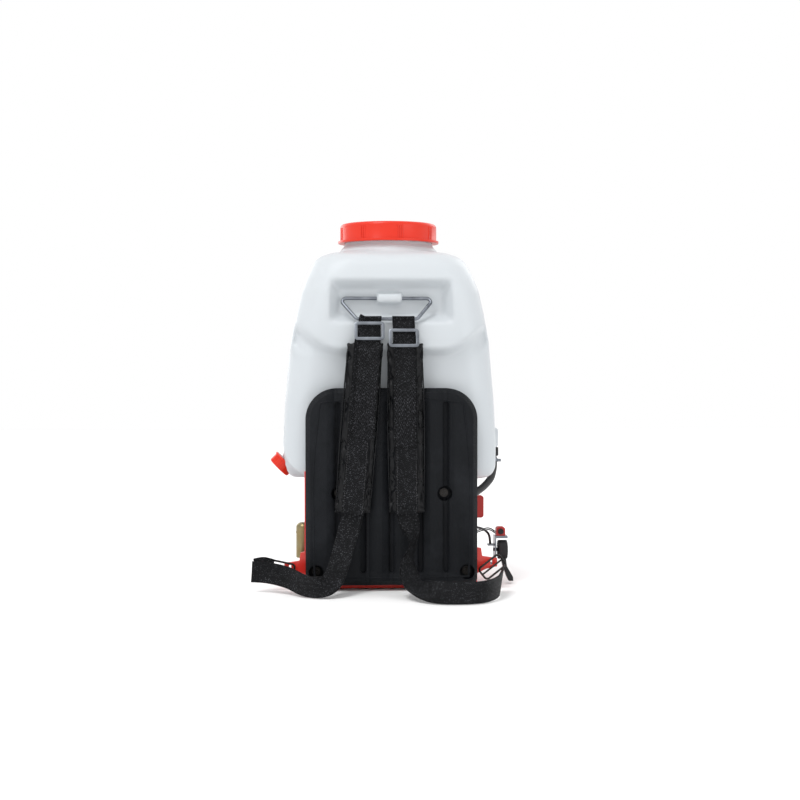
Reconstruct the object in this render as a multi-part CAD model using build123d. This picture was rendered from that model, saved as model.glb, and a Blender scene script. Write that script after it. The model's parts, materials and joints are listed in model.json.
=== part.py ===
from build123d import *
from math import cos, radians, sin, tan
import os

# Knapsack power sprayer: a 25 litre tank on a low frame, carried by two padded straps, with a small
# two-stroke engine under the tank that drives a plunger pump.
# Millimetres. +Z is up, -Y is towards the wearer's back, +X is to the right seen from the wearer's
# side. The origin is on the ground under the middle of the base.

os.makedirs("parts", exist_ok=True)

# ---- driving dimensions -------------------------------------------------------------------------

# Frame and back pad
FRAME_HALF_WIDTH = 150.0
FRAME_BACK = -118.0
FRAME_SHEET = 2.8
UPRIGHT_TOP = 205.0
FLANGE_FRONT = -90.0
FOOT_HEIGHT = 6.0
TRAY_FLOOR = 11.0
TRAY_FRONT = 108.0
POSTS_X = (-112.0, 92.0)
POST_Y = (94.0, 103.0)
PAD_HALF_WIDTH = 148.0
PAD_TOP = 349.0
PAD_BOTTOM = 10.0
PAD_FACE = -148.0
PAD_WALL = 3.0
PAD_RIM = 9.0
PAD_CORNER = 54.0
GROOVE_CENTRES = (-93.0, -49.0, 0.0, 49.0, 93.0)
GROOVE_WIDTH = 11.0
GROOVE_DEPTH = 7.0
PAD_SCREWS = ((-91.0, 168.0), (91.0, 168.0), (-130.0, 33.0), (130.0, 33.0))

# Tank
TANK_WALL = 3.0
TANK_LOW_BACK = -115.0
TANK_HIGH_BACK = -135.0
TANK_FRONT = 118.0
TANK_BASE = 188.5
TANK_TOP = 587.5
NECK_Y = -15.0
NECK_RADIUS = 78.0
NECK_TOP = 632.0
RECESS_FLOOR = -108.0
TUNNEL_TOP = 255.0
CAP_RADIUS = 86.0
CAP_TOP = 640.0
CAP_BOTTOM = 606.0

# Strap bail and straps
BAIL_Z = 504.0
BAIL_Y = -117.0
BAIL_X = -8.0
LUG_X = (-26.0, 19.0)
BAIL_WIRE = 3.0
BAIL_BAR_Z = 468.0
BAIL_BAR_Y = -139.0
WEBBING = 38.0
WEBBING_THICK = 1.6
SHOULDER_PAD_BACK = -150.5
SHOULDER_PAD_THICK = 13.5

# Engine: the crankshaft's axis runs along X
CRANK_Y = 25.0
CRANK_Z = 96.0
SHAFT_RADIUS = 8.0
BORE_RADIUS = 17.0
CYLINDER_X = 34.0

# Pump drive
PINION_TEETH = 14
GEAR_TEETH = 42
GEAR_MODULE = 1.5
PUMP_X = -79.0
KNOB_X = -66.0

# Right side controls
CONTROL_X = 190.0
CONTROL_Y = -48.0
LEVER_HUB_Z = 59.0

# Drain, suction and air chamber
DRAIN_SEAT = (-183.5, -20.0, 218.5)
DRAIN_AWAY = (-0.7071, 0.0, -0.7071)
SUCTION_X = 190.5
SUCTION_Y = -12.0
CHAMBER_X = -152.0
CHAMBER_Y = -22.0

HALF_TURN = 180.0


# ---- helpers ------------------------------------------------------------------------------------

def block(x, y, z):
    """A box between two limits on each axis."""
    spans = (x, y, z)
    centre = [(high + low) / 2 for low, high in spans]
    size = [high - low for low, high in spans]
    return Pos(*centre) * Box(*size)


def bar(radius, start, end):
    """A round bar from one point to another."""
    start = Vector(*start)
    run = Vector(*end) - start
    seat = Plane(origin=start, z_dir=run.normalized()).location
    return seat * Cylinder(radius, run.length, align=(Align.CENTER, Align.CENTER, Align.MIN))


def cone(low_radius, high_radius, start, end):
    """A round taper from one point to another."""
    start = Vector(*start)
    run = Vector(*end) - start
    seat = Plane(origin=start, z_dir=run.normalized()).location
    shape = Cone(low_radius, high_radius, run.length, align=(Align.CENTER, Align.CENTER, Align.MIN))
    return seat * shape


def bar_x(radius, x, y, z):
    """A round bar along X between two x limits."""
    return bar(radius, (x[0], y, z), (x[1], y, z))


def bar_y(radius, x, y, z):
    """A round bar along Y between two y limits."""
    return bar(radius, (x, y[0], z), (x, y[1], z))


def bar_z(radius, x, y, z):
    """A round bar along Z between two z limits."""
    return bar(radius, (x, y, z[0]), (x, y, z[1]))


def ring(outer, inner, start, end):
    """A tube with square ends from one point to another."""
    return bar(outer, start, end) - bar(inner, start, end)


def hexagon_bolt(start, end, shank, head, head_height):
    """A bolt from under its head at start to its tip at end."""
    start = Vector(*start)
    away = (start - Vector(*end)).normalized()
    seat = Plane(origin=start, z_dir=away).location
    cap = seat * extrude(RegularPolygon(head, 6), head_height)
    return cap + bar(shank, tuple(start), end)


def corner_radii(points, largest=None):
    """The largest even arc for each corner of a route, from its two runs and its turn."""
    radii = []
    for before, corner, after in zip(points, points[1:], points[2:]):
        run_in = Vector(*corner) - Vector(*before)
        run_out = Vector(*after) - Vector(*corner)
        turn = radians(run_in.get_angle(run_out))
        radius = 0.45 * min(run_in.length, run_out.length) / tan(turn / 2)
        radii.append(min(radius, largest) if largest else radius)
    return radii


def tube(points, radius, bore=0.0, largest=None):
    """A hose, cable or bent wire: straight runs joined by tangent arcs."""
    route = FilletPolyline(*points, radius=corner_radii(points, largest))
    seat = Plane(origin=route @ 0, z_dir=route % 0)
    shape = sweep(seat * Circle(radius), path=route)
    if bore:
        shape -= sweep(seat * Circle(bore), path=route)
    return shape


def ribbon(stations, thickness, width=WEBBING):
    """A flat strap through stations, each a centre and the direction of the strap's width."""
    centres = [Vector(*centre) for centre, _ in stations]
    sections = []
    for index, (_, across) in enumerate(stations):
        before = centres[max(index - 1, 0)]
        after = centres[min(index + 1, len(centres) - 1)]
        along = (after - before).normalized()
        side = Vector(*across)
        side = (side - along * side.dot(along)).normalized() * (width / 2)
        face = along.cross(side).normalized() * (thickness / 2)
        centre = centres[index]
        corners = [centre + side + face, centre - side + face, centre - side - face, centre + side - face]
        sections.append(Face(Wire.make_polygon(corners, close=True)))
    return loft(sections, ruled=True)


def save(shape, node):
    """Write one sub-part, as a group when it has several solids."""
    solids = shape.solids() if hasattr(shape, "solids") else shape
    whole = solids[0] if len(solids) == 1 else Compound(children=list(solids))
    export_step(whole, f"parts/{node}.step")


# ---- frame --------------------------------------------------------------------------------------

def screw_hole(x, z):
    """A through hole in the frame and the pad for one pad screw."""
    return bar_y(3.3, x, (PAD_FACE - 2, -100), z)


def ear(side):
    """A strap anchor beside the upright: a lug with a narrow strap slot and a raised root."""
    inner = FRAME_HALF_WIDTH - 4
    outer = 185.0
    base = 38.0 if side > 0 else 24.0
    top = 52.0 if side > 0 else 46.0
    outline = Polyline(
        (side * inner, base - 14),
        (side * inner, top + 20),
        (side * (inner + 11), top + 18),
        (side * (inner + 13), top + 4),
        (side * outer, top),
        (side * outer, base),
        (side * (inner + 20), base - 4),
        close=True,
    )
    lug = extrude(Plane.XZ * make_face(outline), 8, dir=(0, 1, 0))
    slot_x = side * (outer - 10)
    slot = block((slot_x - 1.8, slot_x + 1.8), (-10, 20), (base + 3, top - 3))
    return Pos(0, FRAME_BACK, 0) * (lug - slot)


def back_frame():
    """The red upright behind the pad: a plate with turned-in sides and two strap ears."""
    plate = block((-FRAME_HALF_WIDTH, FRAME_HALF_WIDTH), (FRAME_BACK, FRAME_BACK + FRAME_SHEET),
                  (2, UPRIGHT_TOP))
    for side in (-1, 1):
        edge = sorted((side * FRAME_HALF_WIDTH, side * (FRAME_HALF_WIDTH - 4)))
        plate += block(edge, (FRAME_BACK, FLANGE_FRONT), (TRAY_FLOOR + 20, TANK_BASE - 2.5))
        plate += ear(side)
    for height in (60.0, 130.0):
        plate += block((-130, 130), (FRAME_BACK + FRAME_SHEET, -107), (height, height + 5))
    for x, z in PAD_SCREWS:
        plate -= screw_hole(x, z)
    return plate


def base_tray():
    """The red tray for the engine and pump: a raised rim, a centre skid and the bracket's ledge."""
    half = FRAME_HALF_WIDTH - 4.5
    back = FRAME_BACK + FRAME_SHEET + 0.2
    outer = block((-half, half), (back, TRAY_FRONT), (FOOT_HEIGHT, 30))
    outer = fillet(outer.edges().filter_by(Axis.Z).sort_by(Axis.Y)[-2:], 28)
    inside = block((-half + 4, half - 4), (back + 4, TRAY_FRONT - 4), (TRAY_FLOOR, 40))
    inside = fillet(inside.edges().filter_by(Axis.Z).sort_by(Axis.Y)[-2:], 24)
    tray = outer - inside
    for y in (-60.0, 88.0):
        tray += block((-120, 120), (y - 2.5, y + 2.5), (TRAY_FLOOR - 1, TRAY_FLOOR + 5))
    tray += block((-40, 40), (-30, 30), (0, FOOT_HEIGHT + 1))
    return tray + block((141.5, 158), (-50, 20), (20, 30))


def rubber_feet():
    """Four round feet pressed under the tray's corners."""
    feet = []
    for x in (-118.0, 118.0):
        for y in (-85.0, 78.0):
            foot = cone(11, 14, (x, y, 0), (x, y, FOOT_HEIGHT))
            feet.append(foot)
    return feet


def tank_posts():
    """Two steel channels at the front that carry the tank's front edge."""
    posts = []
    for x in POSTS_X:
        side = 1 if x > 0 else -1
        web = block((x - 3, x + 3), POST_Y, (TRAY_FLOOR, TANK_BASE - 0.1))
        foot = block(sorted((x - side * 12, x + side * 8)), POST_Y, (TRAY_FLOOR, 14))
        head = block(sorted((x - side * 3, x + side * 18)), POST_Y, (185.4, 188.4))
        hole = bar_z(2.7, x - side * 8, sum(POST_Y) / 2, (TRAY_FLOOR - 1, 15))
        posts.append(web + foot + head - hole)
    return posts


def back_pad():
    """The black ribbed pad: a thin open-backed shell with grooves and four screw pockets."""
    face = Rectangle(2 * PAD_HALF_WIDTH, PAD_TOP - PAD_BOTTOM)
    face = fillet(face.vertices().group_by(Axis.Y)[-1], PAD_CORNER)
    face = fillet(face.vertices().group_by(Axis.Y)[0], 12)
    middle = (PAD_TOP + PAD_BOTTOM) / 2
    seat = Plane(origin=(0, FRAME_BACK - 0.5, middle), x_dir=(1, 0, 0), z_dir=(0, -1, 0))
    depth = FRAME_BACK - 0.5 - PAD_FACE
    body = seat * extrude(face, depth)
    front = body.faces().sort_by(Axis.Y)[0]
    body = chamfer(front.edges(), 8)
    hollow = seat * extrude(offset(face, -PAD_RIM), depth - PAD_WALL)
    cuts = []
    for x in GROOVE_CENTRES:
        top = PAD_TOP - 22
        bottom = PAD_BOTTOM + 22
        slot = RectangleRounded(GROOVE_WIDTH, top - bottom, GROOVE_WIDTH / 2 - 0.1)
        place = Plane(origin=(x, PAD_FACE + GROOVE_DEPTH, (top + bottom) / 2), x_dir=(1, 0, 0),
                      z_dir=(0, -1, 0))
        body -= place * extrude(slot, GROOVE_DEPTH + 2)
        under = RectangleRounded(GROOVE_WIDTH + 2 * PAD_WALL, top - bottom + 2 * PAD_WALL,
                                 GROOVE_WIDTH / 2 + PAD_WALL - 0.1)
        place = Plane(origin=(x, PAD_FACE + GROOVE_DEPTH + PAD_WALL, (top + bottom) / 2),
                      x_dir=(1, 0, 0), z_dir=(0, -1, 0))
        cuts.append(place * extrude(under, GROOVE_DEPTH + 2))
    for rib in cuts:
        hollow -= rib
    for x, z in PAD_SCREWS:
        hollow -= bar_y(17, x, (PAD_FACE, FRAME_BACK), z)
        body -= bar_y(13, x, (PAD_FACE - 2, -128), z)
        body -= screw_hole(x, z)
    return body - hollow


def pad_screws():
    """Four pan-head screws with washers, through the pad into the upright."""
    screws = []
    for x, z in PAD_SCREWS:
        washer = bar_y(7.5, x, (-129.2, -128), z)
        head = bar_y(4.6, x, (-132.5, -129.2), z)
        shank = bar_y(3, x, (-129.2, FRAME_BACK + FRAME_SHEET + 4), z)
        driver = block((x - 0.6, x + 0.6), (-133, -131), (z - 3, z + 3))
        driver += block((x - 3, x + 3), (-133, -131), (z - 0.6, z + 0.6))
        screws.append(washer + head + shank - driver)
    return screws


# ---- tank ---------------------------------------------------------------------------------------

# Height, half width, back and front of the tank's outside, and the corner radius there.
TANK_SECTIONS = (
    (TANK_BASE, 166, -96, 98, 40),
    (191.0, 175, -105, 108, 40),
    (197.0, 182, -112, 114, 42),
    (208.0, 187, TANK_LOW_BACK, TANK_FRONT, 44),
    (252.0, 188, TANK_LOW_BACK, TANK_FRONT, 46),
    (327.0, 184, TANK_LOW_BACK, TANK_FRONT, 48),
    (404.0, 177.5, TANK_LOW_BACK, 115, 50),
    (428.0, 174, TANK_HIGH_BACK, 113, 54),
    (476.0, 165.5, TANK_HIGH_BACK, 109, 56),
    (519.0, 156, TANK_HIGH_BACK, 104, 58),
    (542.0, 147, -133, 99, 60),
    (562.0, 138, -128, 92, 64),
    (573.0, 131, -122, 85, 68),
    (581.0, 121, -114, 76, 72),
    (TANK_TOP, 104, -102, 62, 76),
)


def tank_form(inset):
    """The tank's form, grown inwards by the inset."""
    faces = []
    for z, half_width, back, front, corner in TANK_SECTIONS:
        lift = 0
        if z == TANK_BASE:
            lift = inset
        if z == TANK_TOP:
            lift = -inset
        outline = RectangleRounded(2 * (half_width - inset), front - back - 2 * inset, corner - inset)
        faces.append(Pos(0, (front + back) / 2, z + lift) * outline)
    return loft(faces, ruled=True)


def tank_recess(grow):
    """The sloped pocket in the tank's back that holds the bail."""
    mouth = Rectangle(218 + 2 * grow, 77 + 2 * grow)
    floor = Rectangle(178 + 2 * grow, 43 + 2 * grow)
    outer = Plane(origin=(0, TANK_HIGH_BACK - 1 - grow, 499.5), x_dir=(1, 0, 0), z_dir=(0, -1, 0))
    inner = Plane(origin=(0, RECESS_FLOOR + grow, 499.5), x_dir=(1, 0, 0), z_dir=(0, -1, 0))
    return loft([inner * floor, outer * mouth], ruled=True)


def engine_tunnel(grow):
    """The arch under the tank that leaves room for the engine's cylinder, open at the front."""
    roof = TUNNEL_TOP + grow
    x = (-16 - grow, 84 + grow)
    return block(x, (-42 - grow, 140), (180 - grow, roof))


def drain_pocket(grow):
    """The flat round seat cut into the tank's lower corner for the drain cap."""
    seat = Vector(*DRAIN_SEAT)
    away = Vector(*DRAIN_AWAY)
    return bar(25 + grow, tuple(seat - away * grow), tuple(seat + away * 45))


def suction_pocket(grow):
    """The hollow in the tank's right side where the suction fitting and hose come down."""
    low = bar_z(14 + grow, 193, SUCTION_Y, (175, 240 + grow))
    return low + bar_z(14 + grow, 190, SUCTION_Y - 14, (175, 236 + grow))


def tank():
    """The blow-moulded tank: one wall all round, its neck, lugs, drain boss and suction boss."""
    outer = tank_form(0) - tank_recess(0) - engine_tunnel(0) - drain_pocket(0) - suction_pocket(0)
    seat = Vector(*DRAIN_SEAT)
    away = Vector(*DRAIN_AWAY)
    outer += bar(10.8, tuple(seat - away), tuple(seat + away * 11))
    outer += block((160, 198), (SUCTION_Y - 18, SUCTION_Y + 18), (240, 276))
    outer += cone(88, 84, (0, NECK_Y, TANK_TOP - 4), (0, NECK_Y, 597))
    outer += bar_z(NECK_RADIUS, 0, NECK_Y, (590, NECK_TOP))
    outer += block(LUG_X, (-125, RECESS_FLOOR + 1), (BAIL_Z - 9, BAIL_Z + 9))
    inner = tank_form(TANK_WALL) - tank_recess(TANK_WALL) - engine_tunnel(TANK_WALL)
    inner = inner - drain_pocket(TANK_WALL) - suction_pocket(TANK_WALL)
    shell = outer - inner
    shell -= bar_z(NECK_RADIUS - TANK_WALL, 0, NECK_Y, (TANK_TOP - 12, NECK_TOP + 1))
    shell -= bar(8, tuple(seat - away * 12), tuple(seat + away * 12))
    shell -= block((150, 194), (SUCTION_Y - 14, SUCTION_Y + 14), (244, 272))
    shell -= bar_z(6.3, SUCTION_X, SUCTION_Y, (234, 250))
    shell -= bar_x(BAIL_WIRE + 0.06, (LUG_X[0] - 1, LUG_X[1] + 1), BAIL_Y, BAIL_Z)
    return shell


def filler_strainer():
    """The basket strainer that hangs in the filler neck by its rim."""
    rim = ring(77.5, 66, (0, NECK_Y, NECK_TOP), (0, NECK_Y, NECK_TOP + 1.8))
    wall = ring(70, 68, (0, NECK_Y, 546), (0, NECK_Y, NECK_TOP + 1.8))
    floor = bar_z(70, 0, NECK_Y, (544, 546.5))
    basket = wall + floor + rim
    slot = Pos(0, NECK_Y, 0) * block((-80, 80), (-3, 3), (556, 610))
    for step in range(9):
        basket -= Pos(0, NECK_Y, 0) * Rot(0, 0, step * 20) * Pos(0, -NECK_Y, 0) * slot
    for row in range(-2, 3):
        for column in range(-2, 3):
            x = column * 22
            y = NECK_Y + row * 22
            if x * x + (y - NECK_Y) ** 2 < 52 ** 2:
                basket -= bar_z(7, x, y, (540, 550))
    return basket


def cap_gasket():
    """The flat rubber ring between the cap and the strainer's rim."""
    low = NECK_TOP + 2.0
    return ring(77, 68, (0, NECK_Y, low), (0, NECK_Y, low + 2))


def tank_cap():
    """The red screw cap: a ribbed skirt over a flange, with a rounded top."""
    outer = bar_z(CAP_RADIUS, 0, NECK_Y, (CAP_BOTTOM, CAP_TOP))
    top = outer.edges().filter_by(GeomType.CIRCLE).sort_by(Axis.Z)[-1]
    outer = fillet(top, 6)
    cap = outer + bar_z(90, 0, NECK_Y, (CAP_BOTTOM, CAP_BOTTOM + 4))
    cap -= bar_z(NECK_RADIUS + 0.6, 0, NECK_Y, (CAP_BOTTOM - 1, NECK_TOP + 4.1))
    ridge = block((CAP_RADIUS - 1, CAP_RADIUS + 1.2), (-0.8, 0.8), (CAP_BOTTOM + 3, CAP_TOP - 7))
    groups = 8
    for group in range(groups):
        for step in (-2.6, 0, 2.6):
            turn = (group + 0.25) * 360 / groups + step
            cap += Pos(0, NECK_Y, 0) * Rot(0, 0, turn) * ridge
    return cap


def drain_cap():
    """The red knurled cap on the drain boss, with its sealing ring seat."""
    seat = Vector(*DRAIN_SEAT)
    away = Vector(*DRAIN_AWAY)
    place = Plane(origin=seat + away * 0.8, z_dir=away).location
    body = Cylinder(21, 19, align=(Align.CENTER, Align.CENTER, Align.MIN))
    body = fillet(body.edges().sort_by(Axis.Z)[-1], 2.5)
    body += Cylinder(23, 3.2, align=(Align.CENTER, Align.CENTER, Align.MIN))
    body -= Pos(0, 0, -1) * Cylinder(11.2, 14, align=(Align.CENTER, Align.CENTER, Align.MIN))
    count = 28
    for step in range(count):
        body -= Rot(0, 0, step * 360 / count) * block((20.2, 24), (-1, 1), (3.2, 19.5))
    return place * body


# ---- strap bail, straps and pads ----------------------------------------------------------------

def strap_bail():
    """The bent wire that the shoulder straps hang from: its two ends turn in the tank's lug."""
    points = [
        (BAIL_X - 9, BAIL_Y, BAIL_Z),
        (BAIL_X - 83, BAIL_Y, BAIL_Z),
        (BAIL_X - 52, BAIL_BAR_Y, BAIL_BAR_Z),
        (BAIL_X + 52, BAIL_BAR_Y, BAIL_BAR_Z),
        (BAIL_X + 83, BAIL_Y, BAIL_Z),
        (BAIL_X + 9, BAIL_Y, BAIL_Z),
    ]
    return tube(points, BAIL_WIRE, largest=7.0)


# Each strap's middle: the x of its top and of its bottom.
STRAP_TOP_Z = 427.0
STRAP_BEND_Z = 352.0
STRAP_LOW_Z = 134.0
STRAP_TOP_Y = -145.8
STRAP_LOW_Y = SHOULDER_PAD_BACK - SHOULDER_PAD_THICK / 2
LEFT_STRAP_X = (-45.5, -68.0)
RIGHT_STRAP_X = (22.5, 25.0)
SHOULDER_PAD_WIDTH = 64.0


def strap_x(strap, z):
    """The x of a strap's middle at a height."""
    top, low = strap
    return top + (low - top) * (STRAP_TOP_Z - z) / (STRAP_TOP_Z - STRAP_LOW_Z)


def shoulder_pad(strap):
    """A plain closed form of one padded strap: it leans off the tank's bulge and hangs straight."""
    stations = []
    for y, z in ((STRAP_TOP_Y, STRAP_TOP_Z), (STRAP_LOW_Y, STRAP_BEND_Z), (STRAP_LOW_Y, STRAP_LOW_Z)):
        stations.append(((strap_x(strap, z), y, z), (1, 0, 0)))
    return ribbon(stations, SHOULDER_PAD_THICK, SHOULDER_PAD_WIDTH)


def left_shoulder_pad():
    """The left padded strap."""
    return shoulder_pad(LEFT_STRAP_X)


def right_shoulder_pad():
    """The right padded strap."""
    return shoulder_pad(RIGHT_STRAP_X)


def shoulder_webbing(strap, x_top, tail_z):
    """One strap's webbing: sewn down the pad, round the bail's bar and back down as the tail."""
    sewn = SHOULDER_PAD_THICK / 2 + 0.5 + WEBBING_THICK / 2
    tail = sewn + 2.2
    gap = BAIL_WIRE + 0.5 + WEBBING_THICK / 2
    round_bar = []
    for angle in range(0, 181, 45):
        y = BAIL_BAR_Y + gap * cos(radians(angle))
        z = BAIL_BAR_Z + gap * sin(radians(angle))
        round_bar.append((y, z))
    rear = [(STRAP_TOP_Y - sewn, STRAP_TOP_Z + 2), (BAIL_BAR_Y, 456), (BAIL_BAR_Y + gap, 465)]
    front = [(BAIL_BAR_Y - gap - 1, 462), (STRAP_TOP_Y - tail - 0.4, STRAP_TOP_Z + 3),
             (STRAP_LOW_Y - tail, STRAP_BEND_Z - 1), (STRAP_LOW_Y - tail, tail_z)]
    stations = []
    for y, z in rear + round_bar + front:
        share = max(0.0, min(1.0, (z - STRAP_TOP_Z) / (BAIL_BAR_Z - STRAP_TOP_Z)))
        x = strap_x(strap, min(z, STRAP_TOP_Z)) * (1 - share) + x_top * share
        stations.append(((x, y, z), (1, 0, 0)))
    loop = ribbon(stations, WEBBING_THICK)
    stations = []
    for y, z in ((STRAP_TOP_Y, STRAP_TOP_Z), (STRAP_LOW_Y, STRAP_BEND_Z), (STRAP_LOW_Y, STRAP_LOW_Z + 2)):
        stations.append(((strap_x(strap, z), y - sewn, z), (1, 0, 0)))
    return [loop, ribbon(stations, WEBBING_THICK)]


def shoulder_webbings():
    """Both straps' webbing above and along the pads."""
    left = shoulder_webbing(LEFT_STRAP_X, -36.5, 264.0)
    right = shoulder_webbing(RIGHT_STRAP_X, 20.0, 250.0)
    return left + right


def tri_glide(width, height, wire):
    """A wire adjuster lying in the XZ plane: a rounded ring with one bar across it."""
    ring_path = RectangleRounded(width, height, 6).wire()
    start = ring_path @ 0
    seat = Plane(origin=start, z_dir=ring_path % 0)
    frame = sweep(seat * Circle(wire), path=ring_path)
    cross = bar(wire * 0.9, (-width / 2, 0, 0), (width / 2, 0, 0))
    return Rot(90, 0, 0) * (frame + cross)


def shoulder_buckles():
    """The two adjusters under the bail, in front of the webbing."""
    shape = tri_glide(48, 30, 2.1)
    lean = 16.0
    left = Pos(-38.5, -157.2, 447) * Rot(-lean, 0, 0) * shape
    right = Pos(20.0, -160.2, 435) * Rot(-lean, 0, 0) * shape
    return left.solids() + right.solids()


def left_lower_webbing():
    """The left lower strap: down to the ground, round past the left ear, and its end folded back."""
    stations = [
        ((-69, -161, 129.5), (-1, 0, -0.08)),
        ((-79, -169, 94), (-1, 0, -0.2)),
        ((-91, -188, 54), (-1, 0, -0.2)),
        ((-104, -214, 28), (-1, -0.1, 0.2)),
        ((-124, -226, 20), (-0.5, 0, 1)),
        ((-150, -207, 20.5), (0.1, 0, 1)),
        ((-178, -175, 29), (0.2, 0, 1)),
        ((-210, -153, 34), (0.3, 0, 1)),
        ((-240, -149, 36), (0.3, 0, 1)),
    ]
    end = [
        ((-236, -143, 47), (0.3, 0, 1)),
        ((-220, -139, 49), (0.2, 0, 1)),
        ((-204, -133, 44), (0, 0, 1)),
    ]
    return ribbon(stations, 2.2, 36).solids() + ribbon(end, 2.2, 22).solids()


def right_lower_webbing():
    """The right lower strap: twisted down to the ground, then on its edge round to the right ear."""
    stations = [
        ((27, -162, 126.0), (1, 0, 0)),
        ((33, -167, 104), (1, 0.9, 0)),
        ((33, -174, 80), (0.35, 1, 0)),
        ((27, -188, 52), (0.7, 0.8, 0.1)),
        ((28, -212, 30), (1, 0.3, -0.1)),
        ((40, -252, 23), (0.9, 0.1, 0.5)),
        ((64, -290, 20), (0.3, 0, 1)),
        ((104, -300, 19.5), (0, 0, 1)),
        ((148, -284, 20), (0, 0, 1)),
        ((176, -232, 23), (0.1, 0.1, 1)),
        ((184, -165, 33), (0.5, 0.2, 1)),
    ]
    return ribbon(stations, 2.2, 36)


def ear_buckles():
    """Two adjusters on the lower straps, in front of the frame's ears."""
    shape = tri_glide(44, 24, 1.8)
    left = Pos(-190, -124, 37) * Rot(0, 12, 0) * shape
    right = Pos(176, -124, 38) * Rot(0, -38, 0) * shape
    return left.solids() + right.solids()


# ---- controls on the right side -----------------------------------------------------------------

def control_bracket():
    """The steel plate on the right of the tray that carries the throttle lever and stop switch."""
    plate = block((188, 190), (-62, -30), (30.1, 84))
    plate += block((150, 190), (-48, -34), (30.1, 32.1))
    plate += block((188, 211), (-58, -34), (80, 84))
    plate = plate + block((150, 190), (-48, -44), (30.1, 36))
    hole = bar_x(3.1, (180, 195), CONTROL_Y, LEVER_HUB_Z)
    guide = block((176, 188), (-52, -38), (66, 69))
    return plate - hole + guide - bar_z(2.3, 181, -46, (60, 75))


def throttle_lever():
    """The throttle lever: a round hub on a pin, with an arm that flares out at its tip."""
    hub = bar_x(17, (194, 211), CONTROL_Y, LEVER_HUB_Z)
    rim = hub.edges().filter_by(GeomType.CIRCLE)
    hub = chamfer(rim, 1.5)
    pin = bar_x(3, (186, 195), CONTROL_Y, LEVER_HUB_Z)
    arm = loft([
        Plane(origin=(203, CONTROL_Y, 50)) * Rectangle(9, 16),
        Plane(origin=(206, CONTROL_Y - 6, 30)) * Rectangle(7, 13),
        Plane(origin=(214, CONTROL_Y - 12, 12)) * Rectangle(11, 17),
        Plane(origin=(216, CONTROL_Y - 13, 5)) * Rectangle(8, 14),
    ], ruled=True)
    return hub + pin + arm


def stop_switch():
    """The red stop switch's housing on the bracket's flange, with its round button well."""
    body = block((191, 207), (-55, -37), (84.1, 100))
    body = fillet(body.edges().filter_by(Axis.Y).sort_by(Axis.Z)[-2:], 5)
    return body - bar_y(5.3, 199, (-56, -44), 92)


def stop_button():
    """The stop switch's push button."""
    return bar_y(5, 199, (-58.5, -49), 92)


THROTTLE_ROUTE = [
    (181, -46, 69.2),
    (179, -50, 86),
    (166, -68, 99),
    (142, -78, 104),
    (114, -66, 116),
    (92, -57, 136),
    (76, -51, 151),
    (66, -42, 158),
    (52.8, -37, 159),
]

WIRE_ROUTE = [
    (190.0, -50, 91),
    (180, -46, 98),
    (164, -50, 96),
    (142, -58, 88),
    (118, -62, 88),
    (100, -56, 101),
    (91, -46.5, 113),
]


def throttle_cable():
    """The throttle cable from the lever's bracket to the carburettor."""
    return tube(THROTTLE_ROUTE, 2.2)


def switch_wires():
    """The pair of thin wires from the stop switch to the ignition coil."""
    pair = []
    for shift in (0.0, 3.0):
        route = [(x, y, z - shift) for x, y, z in WIRE_ROUTE]
        pair.append(tube(route, 1.1))
    return pair


# ---- engine -------------------------------------------------------------------------------------

MOUNT_X = (6.0, 62.0)
MOUNT_Y = (CRANK_Y - 45, CRANK_Y + 45)
FAN_BACK = 68.0
FAN_FRONT = 112.0
COVER_FRONT = 140.0
EYELET = (-12.0, 133.0)
HANDLE_X = 155.0
DECK_Z = 134.0


def crankcase():
    """The crankcase: a round chamber with four feet and a flat deck for the cylinder."""
    case = bar_x(38, (8, 60), CRANK_Y, CRANK_Z)
    case += block((10, 58), (CRANK_Y - 26, CRANK_Y + 26), (CRANK_Z, DECK_Z))
    case += block((0, 68), (CRANK_Y - 54, CRANK_Y - 36), (26, 34))
    case += block((0, 68), (CRANK_Y + 36, CRANK_Y + 54), (26, 34))
    case += block((14, 54), (CRANK_Y - 46, CRANK_Y + 46), (26, 60))
    case += bar_x(16, (0, 67.8), CRANK_Y, CRANK_Z)
    case -= bar_x(31, (16, 52), CRANK_Y, CRANK_Z)
    case -= bar_z(18.5, CYLINDER_X, CRANK_Y, (CRANK_Z, DECK_Z + 1))
    case -= bar_x(SHAFT_RADIUS + 0.05, (-5, 75), CRANK_Y, CRANK_Z)
    for x in MOUNT_X:
        for y in MOUNT_Y:
            case -= bar_z(3.3, x, y, (20, 40))
    return case


def engine_mounts():
    """Four rubber buffers between the tray and the crankcase's feet."""
    mounts = []
    for x in MOUNT_X:
        for y in MOUNT_Y:
            mounts.append(ring(11, 3.3, (x, y, TRAY_FLOOR), (x, y, 26)))
    return mounts


def hex_bolts():
    """Hexagon bolts through the engine's feet and through the tank posts' feet."""
    bolts = []
    for x in MOUNT_X:
        for y in MOUNT_Y:
            bolts.append(hexagon_bolt((x, y, 34), (x, y, 13), 3, 5.8, 4))
    for x in POSTS_X:
        bolt_x = x - 8 if x > 0 else x + 8
        y = sum(POST_Y) / 2
        bolts.append(hexagon_bolt((bolt_x, y, 14.1), (bolt_x, y, TRAY_FLOOR + 0.1), 2.5, 4, 4))
    return bolts


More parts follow.
